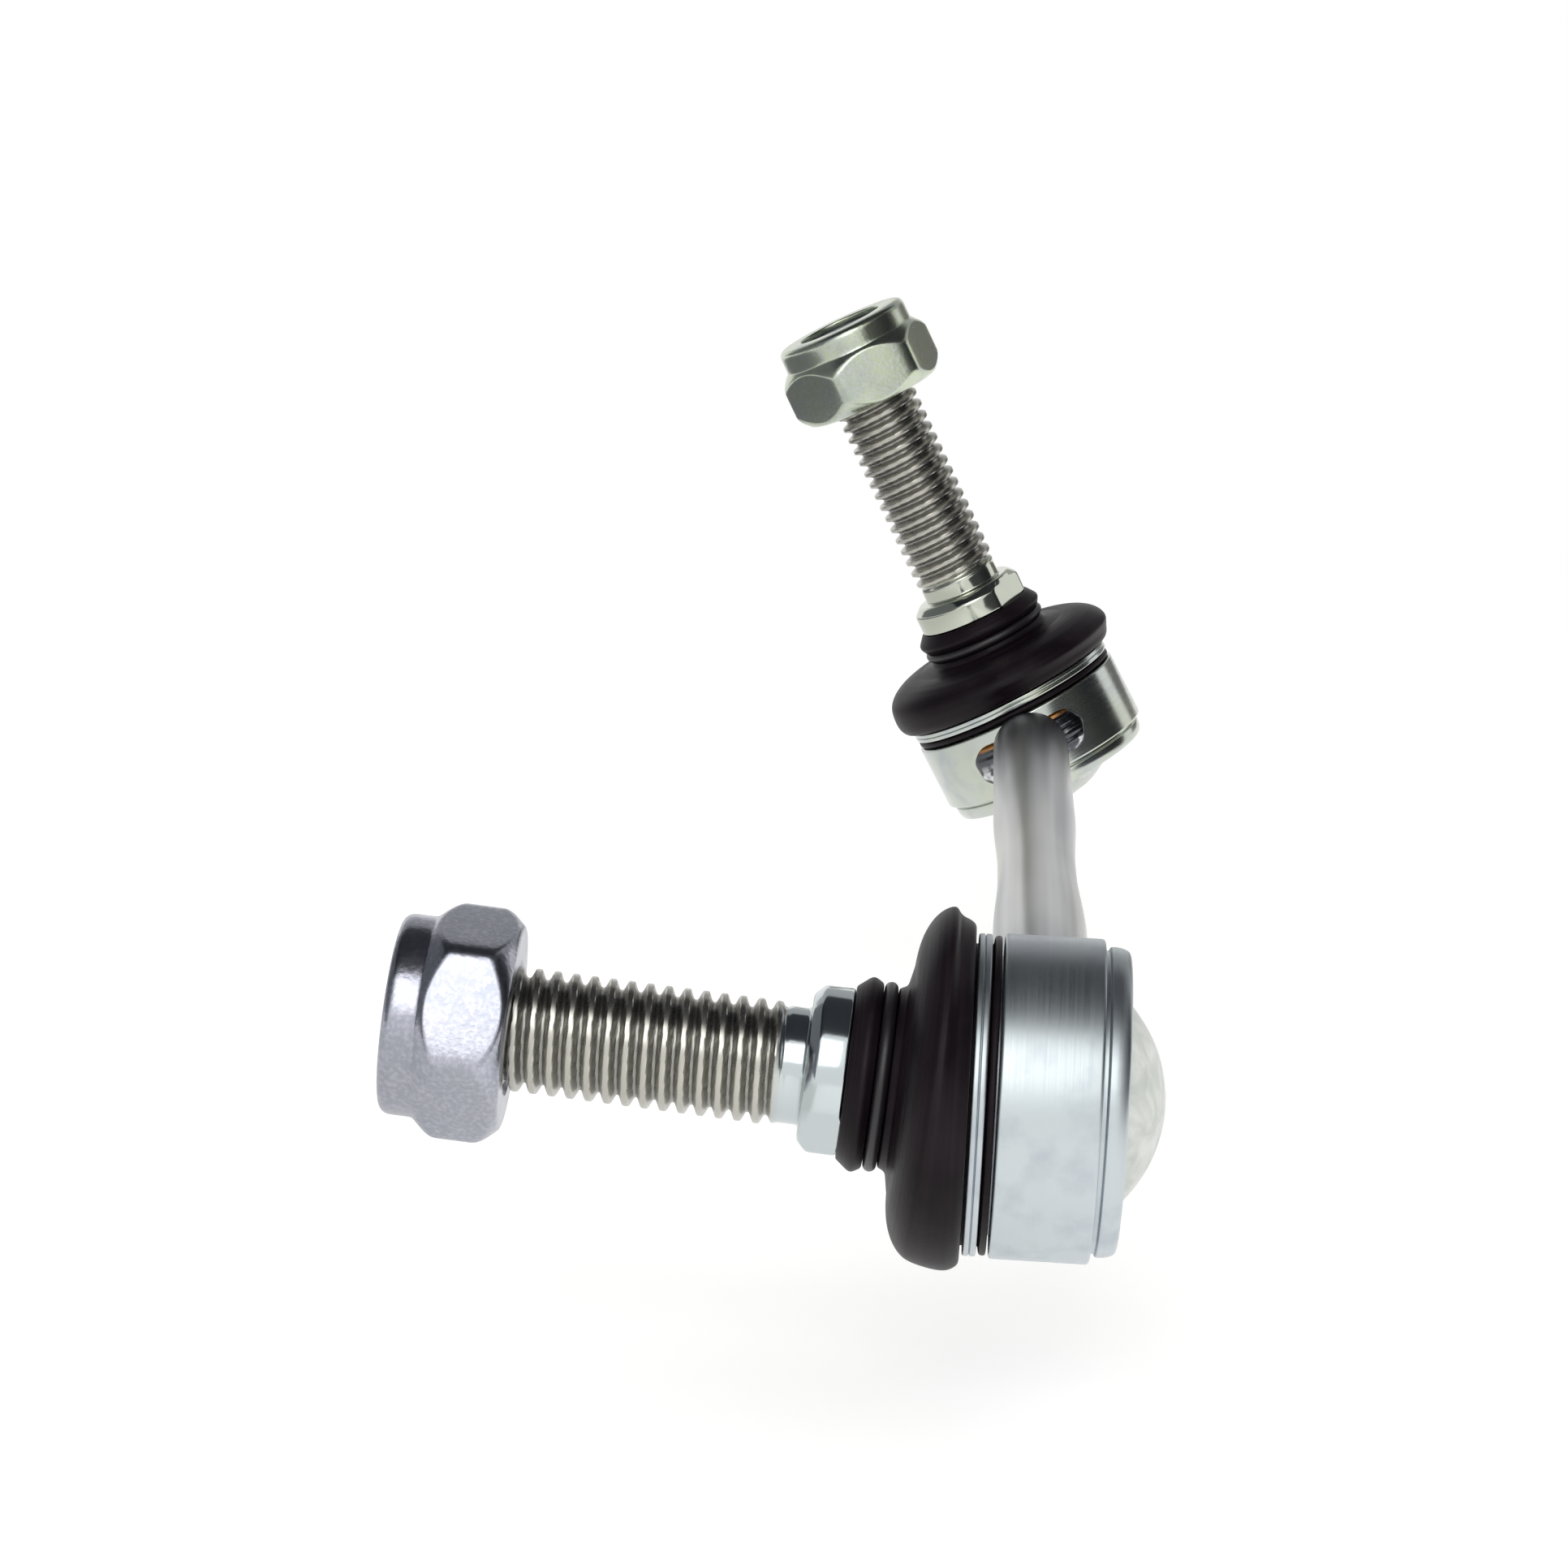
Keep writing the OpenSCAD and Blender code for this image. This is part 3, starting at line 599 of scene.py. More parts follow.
def arc(centre_r, centre_z, radius_r, radius_z, start, stop, steps):
    """Points of an elliptic arc in a section, as (radius, height, corner reach): angles are in degrees."""
    turn = np.radians(np.linspace(start, stop, steps))
    reach = np.full(steps, 0.4 * MM)
    return np.column_stack([centre_r + radius_r * np.cos(turn), centre_z + radius_z * np.sin(turn), reach])


def smoothstep(value):
    """0 below 0, 1 above 1, and t^2 (3 - 2t) between."""
    t = np.clip(value, 0, 1)
    return t * t * (3 - 2 * t)


class LINK_OT_rod(bpy.types.Operator):
    """Rod: a bar of revolution, thicker towards its ends, whose ends follow the barrels' round walls"""
    bl_idname = "link.rod"
    bl_label = "Rod"

    def execute(self, context):
        s = sizes("link_rod")
        barrel_r = sizes("link_housing").barrel_r
        near, far = BallJoint("near"), BallJoint("far")
        span = far.ball[1] - near.ball[1]
        angles = ring_angles(96)
        # Rows along the bar as shares of its length: close together at the rounded ends, and even between
        edge = np.array([0, 0.2, 0.5, 0.9, 1.3, 1.8]) * MM / span
        share = np.concatenate([edge, np.linspace(0.016, 0.984, 160), 1 - edge[::-1]])
        # Radius along the bar: the end radius over the forged end, then a smooth taper to the middle radius
        along = barrel_r + share * (span - 2 * barrel_r)
        from_end = np.minimum(along, span - along)
        taper = smoothstep((from_end - s.end_length) / (s.waist - s.end_length))
        radius = s.end_r + (s.middle_r - s.end_r) * taper
        # The end's edge is rounded: at the distance d from the end, the radius falls by
        # e - sqrt(e^2 - (e - d)^2)
        to_end = np.minimum(share, 1 - share) * span
        inward = np.maximum(s.end_round - to_end, 0)
        radius = radius - s.end_round + np.sqrt(s.end_round ** 2 - inward ** 2)
        across, up = radius[:, None] * np.cos(angles), radius[:, None] * np.sin(angles)
        # Each end sits on a barrel: the wall's distance is sqrt(R^2 - q^2), with q across that barrel's axis
        near_side = np.stack([across, 0 * across, up], axis=2) @ near.housing[:, 1]
        far_side = np.stack([across, 0 * across, up], axis=2) @ far.housing[:, 1]
        near_wall = np.sqrt(barrel_r ** 2 - near_side ** 2)
        far_wall = span - np.sqrt(barrel_r ** 2 - far_side ** 2)
        run = near_wall + share[:, None] * (far_wall - near_wall)
        points = np.stack([across, run, up], axis=2) + near.ball
        piece = skin("link_rod", points, closed_section=False)
        heat = 1 - smoothstep((from_end - barrel_r) / s.heat_length)
        note(piece, "weld_heat", np.append(np.repeat(heat, len(angles)), [1, 1]))
        dress(piece, "rod", drawn_bar_zinc())
        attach(piece, "link")
        return {"FINISHED"}


class LINK_OT_housings(bpy.types.Operator):
    """Ball housings: turned barrel, roller groove and crimped rear ring as one section of revolution"""
    bl_idname = "link.housings"
    bl_label = "Ball housings"

    def execute(self, context):
        s = sizes("link_housing")
        seat_gap = 0.1 * MM
        rear_r, bore_r = s.dome_r + seat_gap, s.seat_r + seat_gap
        lip_z = -s.crimp_end + 0.8 * MM
        groove_r = s.crimp_r - 0.3 * MM
        rib_r, rib_half = s.spigot_r + 0.5 * MM, 0.35 * MM
        opening_r, throat_r, seat_top = 8.6 * MM, 7.6 * MM, 3.2 * MM
        fine, small, soft, edge = 0.05 * MM, 0.1 * MM, 0.2 * MM, 0.3 * MM
        corners = [
            # The crimped ring, and the roller's groove between it and the barrel
            (rear_r, -s.crimp_end, 0.15 * MM), (groove_r, -s.crimp_end, 0.7 * MM),
            (s.crimp_r, -s.crimp_end + 0.9 * MM, 0.5 * MM), (s.crimp_r, -s.barrel_back - 0.5 * MM, small),
            (groove_r, -s.barrel_back - 0.35 * MM, fine), (groove_r, -s.barrel_back, fine),
            # The barrel, and the spigot with its rib under the boot
            (s.barrel_r, -s.barrel_back, edge), (s.barrel_r, s.barrel_front, edge),
            (s.spigot_r, s.barrel_front, small), (s.spigot_r, s.spigot_top - 2 * rib_half, small),
            (rib_r, s.spigot_top - rib_half, small), (s.spigot_r, s.spigot_top, small),
            # The opening for the stud's neck, and the bore that holds the seat
            (opening_r, s.spigot_top, soft), (throat_r, s.barrel_front, soft), (throat_r, seat_top, small),
            (bore_r, seat_top, small), (bore_r, lip_z, small), (rear_r, lip_z, small),
        ]
        section = rounded(corners, closed=True, steps=6)
        for end in ENDS:
            finish = turned_zinc(f"{end}_film")
            points = BallJoint(end).in_housing(revolved(section[:, 0], section[:, 1], ring_angles(144)))
            piece = skin(f"{end}_barrel", points, closed_section=True)
            dress(piece, f"{end}_housing", finish)
            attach(piece, "link")
        return {"FINISHED"}


class LINK_OT_seats(bpy.types.Operator):
    """Ball seats: a plastic cup round the ball whose dome shows behind the crimped ring"""
    bl_idname = "link.seats"
    bl_label = "Ball seats"

    def execute(self, context):
        s = sizes("link_housing")
        ball_r = sizes("link_stud").ball_r + 0.05 * MM
        grip_z = 3.1 * MM
        step_z = -s.crimp_end + 0.9 * MM
        petal_depth, petals, twist = 0.07 * MM, 7, 5
        # The dome and the cavity are circles: r = sqrt(R^2 - (z - c)^2)
        dome_centre = s.dome_sphere - s.dome_end
        dome_angle = np.linspace(0.02, math.asin(s.dome_r / s.dome_sphere), 22)
        dome = np.column_stack([s.dome_sphere * np.sin(dome_angle),
                                dome_centre - s.dome_sphere * np.cos(dome_angle)])
        grip_r = math.sqrt(ball_r ** 2 - grip_z ** 2)
        wall = rounded([(s.dome_r, dome[-1, 1], 0), (s.dome_r, step_z, 0.1 * MM),
                        (s.seat_r, step_z, 0.3 * MM), (s.seat_r, grip_z, 0.3 * MM), (grip_r, grip_z, 0)],
                       closed=False)
        cup_angle = np.linspace(math.asin(grip_z / ball_r), POLE, 40)[1:]
        cup = np.column_stack([ball_r * np.cos(cup_angle), ball_r * np.sin(cup_angle)])
        section = np.vstack([dome, wall[1:], cup])
        angles = ring_angles(112)
        # Flow marks: shallow curved petals on the dome that fade at its crown and rim
        share = np.clip(section[:, :1] / s.dome_r, 0, 1)
        fade = np.where(np.arange(len(section))[:, None] < len(dome), 4 * share * (1 - share), 0)
        height = section[:, 1:] + petal_depth * fade * (0.5 + 0.5 * np.sin(petals * angles + twist * share))
        finish = moulded_acetal()
        for end in ENDS:
            points = BallJoint(end).in_housing(revolved(section[:, 0], height, angles))
            piece = skin(f"{end}_seat_dome", points, closed_section=False)
            dress(piece, f"{end}_ball_seat", finish)
            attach(piece, "link")
        return {"FINISHED"}


class LINK_OT_studs(bpy.types.Operator):
    """Ball studs: ball, neck, land, collar with two flats, shank, and a single-start thread"""
    bl_idname = "link.studs"
    bl_label = "Ball studs"

    def execute(self, context):
        s = sizes("link_stud")
        angles = ring_angles(144)
        neck_top = 9.6 * MM
        shoulder_bevel, edge = 0.9 * MM, 0.3 * MM
        tip_r = s.thread_r - 0.95 * MM
        row_step = 0.085 * MM
        root_share, flank_share = 0.1, 0.68
        least_cosine = 0.05
        ball_angle = np.linspace(POLE, math.acos(s.neck_r / s.ball_r), 40)
        ball = np.column_stack([s.ball_r * np.cos(ball_angle), s.ball_r * np.sin(ball_angle)])
        body = rounded([
            (s.neck_r, ball[-1, 1], 0), (s.neck_r, neck_top, 1.2 * MM), (s.land_r, s.land_z, 0.8 * MM),
            (s.land_r, s.collar_z, 0.2 * MM), (s.collar_r, s.collar_z, edge),
            (s.collar_r, s.shoulder_z - shoulder_bevel, edge),
            (s.collar_r - shoulder_bevel, s.shoulder_z, edge), (s.shank_r, s.shoulder_z, edge),
            (s.shank_r, s.thread_z - 1.2 * MM, 0)], closed=False)
        thread_height = np.arange(s.thread_z - 1.1 * MM, s.tip_z - 0.02 * MM, row_step)
        tip = np.array([[tip_r, s.tip_z], [1.5 * MM, s.tip_z], [0.2 * MM, s.tip_z]])
        plain = np.vstack([ball, body[1:]])
        height = np.concatenate([plain[:, 1], thread_height, tip[:, 1]])
        # Thread: the phase z / pitch - angle / 2 pi gives a rounded tooth between root and crest radius,
        # which grows out of the shank over its first turn and is cut by the tip's chamfer cone
        phase = thread_height[:, None] / s.pitch - angles / (2 * math.pi)
        wave = np.abs(2 * (phase - np.floor(phase)) - 1)
        tooth = smoothstep((wave - root_share) / flank_share)
        crest = s.thread_root_r + (s.thread_r - s.thread_root_r) * tooth
        grown = smoothstep((thread_height - s.thread_z + 1.0 * MM) / s.pitch)[:, None]
        cone = (tip_r + (s.tip_z - thread_height))[:, None]
        threaded = np.minimum(s.shank_r + (crest - s.shank_r) * grown, cone)
        depth = np.clip((threaded - s.thread_root_r) / (s.thread_r - s.thread_root_r), 0, 1)
        on_collar = (plain[:, 1] > s.collar_z - 0.05 * MM) & (plain[:, 1] < s.shoulder_z + 0.01 * MM)
        first = len(plain) * len(angles)
        thread_part = slice(first, first + threaded.size)
        for end, turn in zip(ENDS, (s.near_flats, s.far_flats)):
            finish = rolled_thread_zinc(f"{end}_film")
            # Flats: inside the collar the radius is at most half flats / |cos(angle - turn)|
            flat = s.flats_half / np.maximum(np.abs(np.cos(angles - turn)), least_cosine)
            plain_radius = np.where(on_collar[:, None], np.minimum(plain[:, :1], flat), plain[:, :1])
            radius = np.vstack([plain_radius, threaded, np.repeat(tip[:, :1], len(angles), axis=1)])
            points = BallJoint(end).in_stud(revolved(radius, height, angles))
            piece = skin(f"{end}_stud", points, closed_section=False)
            share = np.ones(len(piece.data.vertices))
            share[thread_part] = depth.ravel()
            # Depth of the thread from root to crest, by which the finish paints shade into the roots
            note(piece, "crest", share)
            bare = np.zeros(len(share))
            bare[:first] = 1
            bare[thread_part] = np.repeat(1 - grown[:, 0], len(angles))
            note(piece, "plain", bare)
            dress(piece, f"{end}_ball_stud", finish)
            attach(piece, f"{end}_ball_stud")
        return {"FINISHED"}


class LINK_OT_boots(bpy.types.Operator):
    """Rubber boots: a bulged sleeve whose rings turn from the housing's axis to the stud's"""
    bl_idname = "link.boots"
    bl_label = "Rubber boots"

    def execute(self, context):
        s = sizes("link_boot")
        slack = 0.22 * MM
        land_r = sizes("link_stud").land_r + slack
        spigot_r = sizes("link_housing").spigot_r + slack
        foot_z, foot_top = 4.32 * MM, s.clip_z - slack
        groove_top = s.clip_z + s.clip_w + slack
        side_out = 1.0125 * MM
        throat_r, shelf_r, wire_seat_r = 7.5 * MM, 7.2 * MM, 6.32 * MM
        seat_half, wall_half = 0.6 * MM, 0.64 * MM
        fine, small, soft = 0.1 * MM, 0.2 * MM, 0.3 * MM
        # Outside, upwards: foot, clip's groove, bulge, throat, the neck ring's seat, and the rib at the lip
        outside = np.vstack([
            [(s.foot_r, foot_z, small), (s.foot_r, foot_top, soft),
             (s.groove_r, foot_top + slack / 2, fine), (s.groove_r, groove_top, fine)],
            arc(s.bulge_r - side_out, s.bulge_z, side_out, s.bulge_z - groove_top, -90, -8, 9),
            arc(s.turn_r, s.bulge_z, s.bulge_r - s.turn_r, s.bulge_top - s.bulge_z, 0, 90, 17),
            [(throat_r, s.bulge_top + 0.4 * MM, soft), (shelf_r, s.wire_z - wall_half, 0.15 * MM),
             (wire_seat_r, s.wire_z - seat_half, small), (wire_seat_r, s.wire_z + seat_half, small),
             (s.rib_r - 0.5 * MM, s.wire_z + wall_half, small), (s.rib_r, s.rib_z, 0.4 * MM),
             (s.rib_r - 1.0 * MM, s.lip_z, 0.15 * MM)]])
        # Inside, downwards: grip on the stud's land, bulge, and grip on the spigot
        roof = s.bulge_top - s.wall
        inside = np.vstack([
            [(land_r, s.lip_z, small), (land_r, s.neck_low, 0.4 * MM),
             (land_r + 1.08 * MM, roof + 0.3 * MM, 0.5 * MM)],
            arc(s.turn_r, s.bulge_z, s.bulge_r - s.wall - s.turn_r, roof - s.bulge_z, 90, -40, 12),
            [(spigot_r + 0.55 * MM, s.still_z, fine), (spigot_r, s.still_z - slack, fine),
             (spigot_r, foot_z, small)]])
        section = rounded(np.vstack([outside, inside]), closed=True, steps=4)
        angles = ring_angles(128)
        finish = boot_rubber()
        for end in ENDS:
            place = BallJoint(end)
            # Each ring turns about the ball's centre by the tilt times smoothstep of its height, fully so
            # from just above the bulge's widest place
            turn = (place.tilt * smoothstep((section[:, 1] - s.still_z) / (s.follow_z - s.still_z)))[:, None]
            lean = section[:, :1] * np.cos(angles - place.heading)
            side = section[:, :1] * np.sin(angles - place.heading)
            out = lean * np.cos(turn) + section[:, 1:] * np.sin(turn)
            points = np.stack([out * math.cos(place.heading) - side * math.sin(place.heading),
                               out * math.sin(place.heading) + side * math.cos(place.heading),
                               section[:, 1:] * np.cos(turn) - lean * np.sin(turn)], axis=2)
            points = place.in_housing(points)
            piece = skin(f"{end}_rubber_boot", points, closed_section=True, sharp_degrees=60)
            dress(piece, f"{end}_boot", finish)
            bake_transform(piece)
        return {"FINISHED"}


class LINK_OT_rings(bpy.types.Operator):
    """Boot rings: the flat base clip on the boot's foot and the round neck ring"""
    bl_idname = "link.rings"
    bl_label = "Boot rings"

    def execute(self, context):
        s = sizes("link_boot")
        inner_r = s.clip_r - s.clip_t
        top = s.clip_z + s.clip_w
        # A fine groove runs round the clip's middle
        middle = s.clip_z + s.clip_w / 2
        groove_r = s.clip_r - 0.3 * s.clip_t
        half_mouth, half_floor = 0.06 * MM, 0.02 * MM
        clip = rounded([(inner_r, s.clip_z, 0.1 * MM), (s.clip_r, s.clip_z, 0.2 * MM),
                        (s.clip_r, middle - half_mouth, 0.08 * MM),
                        (groove_r, middle - half_floor, half_floor),
                        (groove_r, middle + half_floor, half_floor),
                        (s.clip_r, middle + half_mouth, 0.08 * MM),
                        (s.clip_r, top, 0.2 * MM), (inner_r, top, 0.1 * MM)], closed=True)
        loop = ring_angles(28)
        wire = np.column_stack([s.wire_ring_r + s.wire_r * np.cos(loop), s.wire_z + s.wire_r * np.sin(loop)])
        angles = ring_angles(144)
        black = phosphated_wire()
        for end in ENDS:
            band = turned_zinc(f"{end}_film")
            place = BallJoint(end)
            points = place.in_housing(revolved(clip[:, 0], clip[:, 1], angles))
            piece = skin(f"{end}_base_clip", points, closed_section=True)
            dress(piece, f"{end}_boot_clip", band)
            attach(piece, f"{end}_boot")
            points = place.in_stud(revolved(wire[:, 0], wire[:, 1], angles))
            piece = skin(f"{end}_neck_wire", points, closed_section=True)
            dress(piece, f"{end}_neck_ring", black)
            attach(piece, f"{end}_neck_ring")
        return {"FINISHED"}


class LINK_OT_nuts(bpy.types.Operator):
    """Lock nuts: a hexagon with conical chamfers, and a round crown rolled over its insert"""
    bl_idname = "link.nuts"
    bl_label = "Lock nuts"

    def execute(self, context):
        s = sizes("link_nut")
        half_side = math.radians(30)
        # Columns crowd towards the six corners: angle = 60 k + 30 sin(pi t / 2) degrees
        sides = np.arange(6) * 2 * half_side
        across = np.linspace(-1, 1, 27)[:-1]
        base = (sides[:, None] + half_side * np.sin(across * math.pi / 2)).ravel()
        # Hexagon with rounded corners: r = a (sum of max(0, cos)^n over its six sides)^(-1/n)
        facing = np.maximum(np.cos(base[:, None] - sides), 0)
        sharp_r = s.half_flats / math.cos(half_side)
        power = math.log(2) / math.log(sharp_r / s.corner_r)
        hexagon = s.half_flats * (facing ** power).sum(axis=1) ** (-1 / power)
        slope = s.chamfer / (s.corner_r - s.bearing_r)
        chamfer = (hexagon - s.bearing_r) * slope
        bearing = [(s.bore_r, 0.6 * MM), (s.bore_r + 0.5 * MM, 0), (s.bearing_r - 0.45 * MM, 0),
                   (s.bearing_r - 0.15 * MM, 0.02 * MM), (s.bearing_r + 0.1 * MM, 0.13 * MM)]
        # The edge between chamfer and flat is a curve in t: inwards by e (1 - t)^2, and along by
        # e (t^2 - slope (1 - t)^2)
        edge = 0.2 * MM + 0.35 * (chamfer - chamfer.min())
        lower = [(hexagon - edge * (1 - t) ** 2, chamfer + edge * (t ** 2 - slope * (1 - t) ** 2))
                 for t in np.linspace(0, 1, 7)]
        upper = [(r, s.hex_h - z) for r, z in reversed(lower)]
        # Hollow run from the upper chamfer into the crown: (1-t)^2 A + 2t(1-t) B + t^2 C
        run = [(s.crown_r + 0.14 * MM * (1 - t) ** 2, s.hex_h - 0.09 * MM * (1 - t) ** 2 + 0.5 * MM * t ** 2)
               for t in np.linspace(0, 1, 5)]
        insert_gap = 0.04 * MM
        pocket_r = s.insert_r + insert_gap
        pocket_low, pocket_top = s.insert_low - insert_gap, s.insert_low + s.insert_h + insert_gap
        crown = rounded([(s.crown_r, s.hex_h + 0.6 * MM, 0), (s.crown_r, s.nut_h, s.crown_round * 1.25),
                         (s.mouth_r, s.nut_h, 0.25 * MM), (s.mouth_r, pocket_top, 0.1 * MM),
                         (pocket_r, pocket_top, 0.1 * MM), (pocket_r, pocket_low, 0.1 * MM),
                         (s.bore_r, pocket_low, 0)], closed=False, steps=8)
        rows = [*bearing, *lower, *upper, *run, *crown]
        radius = np.array([np.broadcast_to(r, base.shape) for r, z in rows])
        height = np.array([np.broadcast_to(z, base.shape) for r, z in rows])
        for end, turn, bearing_z in zip(ENDS, (s.near_turn, s.far_turn), (s.near_bearing_z, s.far_bearing_z)):
            finish = formed_zinc(f"{end}_nut")
            angles = base + turn + half_side
            points = BallJoint(end).in_stud(revolved(radius, height + bearing_z, angles))
            piece = skin(f"{end}_hex_nut", points, closed_section=True, sharp_degrees=28)
            dress(piece, f"{end}_lock_nut", finish)
            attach(piece, f"{end}_lock_nut")
        return {"FINISHED"}


class LINK_OT_inserts(bpy.types.Operator):
    """Nylon inserts: the ring inside each nut's crown"""
    bl_idname = "link.inserts"
    bl_label = "Nylon inserts"

    def execute(self, context):
        s = sizes("link_nut")
        low, high = s.insert_low, s.insert_low + s.insert_h
        section = rounded([(s.bore_r, low, 0.4 * MM), (s.insert_r, low, 0.3 * MM),
                           (s.insert_r, high, 0.3 * MM), (s.bore_r, high, 0.6 * MM)], closed=True, steps=6)
        finish = moulded_nylon()
        for end, bearing_z in zip(ENDS, (s.near_bearing_z, s.far_bearing_z)):
            ring = revolved(section[:, 0], section[:, 1] + bearing_z, ring_angles(96))
            piece = skin(f"{end}_nylon_ring", BallJoint(end).in_stud(ring), closed_section=True)
            dress(piece, f"{end}_nut_insert", finish)
            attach(piece, f"{end}_nut_insert")
        return {"FINISHED"}


class LINK_OT_welds(bpy.types.Operator):
    """Welds: two pools beside each rod end, a fillet section carried along the joint line"""
    bl_idname = "link.welds"
    bl_label = "Welds"

    def execute(self, context):
        s = sizes("link_rod")
        barrel_r = sizes("link_housing").barrel_r
        pool_reach, pool_height, root = 0.97 * s.weld_reach, 0.9 * s.weld_height, 0.3 * MM
        finish = weld_metal()
        along = np.linspace(-0.998, 0.998, 61)
        # Section: out over the pool's skin, then back inside the barrel's wall
        skin_out = np.linspace(-0.12, 1, 21)
        # The pool lies beside the rod on the barrel, from the rod's side at the angle q outwards. Its edge is
        # an ellipse, and its skin stands above the barrel by (1 - y^2)^0.6, with ripples along its length
        q = along * math.asin(s.weld_reach / s.end_r)
        start = s.end_r * np.cos(q)
        swell = np.sqrt(1 - along ** 2)
        dome = (1 - np.clip(skin_out, 0, 1) ** 2) ** 0.6
        for end in ENDS:
            place = BallJoint(end)
            for side, name in ((-1, "a"), (1, "b")):
                ripple = 1 + 0.1 * np.sin(11 * along + 2 * side) + 0.06 * np.sin(23 * along)
                width = (s.end_r - start) + pool_reach * swell * (1 + 0.03 * np.sin(7 * along + side))
                across = start[:, None] + width[:, None] * skin_out
                raised = (pool_height * swell * ripple)[:, None] * dome
                up = np.broadcast_to((s.end_r * np.sin(q))[:, None], across.shape)
                wall = np.sqrt(barrel_r ** 2 - across ** 2)
                top = np.stack([wall + raised, side * across, up], axis=2)
                under = np.stack([wall - root, side * across, up], axis=2)[:, ::-1]
                points = place.in_housing(np.concatenate([top, under], axis=1))
                piece = skin(f"{end}_weld_pool_{name}", points, closed_section=False, sharp_degrees=50)
                heat = np.repeat(0.5 + 0.5 * along, points.shape[1])
                note(piece, "weld_heat", np.append(heat, [0.0, 1.0]))
                upper = (side * place.housing[2, 1]) > 0
                dress(piece, f"{end}_weld_{'upper' if upper else 'lower'}", finish)
                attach(piece, "link")
        return {"FINISHED"}


# The photograph's camera: its lens and sensor in millimetres, its place from the near ball's centre in
# metres, and its right, up and back directions as columns
LENS, SENSOR_WIDTH = 89.58, 36.0
CAMERA_PLACE = (-0.00886, -0.30272, 0.08292)
CAMERA_TURN = ((0.99748, -0.05612, 0.04357), (0.05337, 0.18712, -0.98089), (0.04689, 0.98074, 0.18965))
# Cards that the metal reflects: centre from the link's middle, and the two edges, in metres
CARDS = {
    "back_card": ((0.0, 0.75, 0.88), (2.6, 0.0, 0.0), (0.0, 2.4, -0.5)),
    "flag": ((-0.15, 0.08, 0.70), (1.2, 0.0, 0.0), (0.0, 1.07, 0.0)),
    "left_card": ((-0.75, 0.0, 0.40), (0.0, 1.65, 0.0), (0.0, 0.0, 0.80)),
    "right_card": ((0.65, -0.345, 0.45), (0.0, 1.28, 0.0), (0.0, 0.0, 0.95)),
    "corner_card": ((0.45, 0.72, 0.20), (0.35, -0.25, 0.0), (0.0, 0.0, 0.32)),
}
# The near nut swings to 11 mm below the link's lowest place at rest, and the floor leaves room for it
FLOOR_DROP = 11.2 * MM


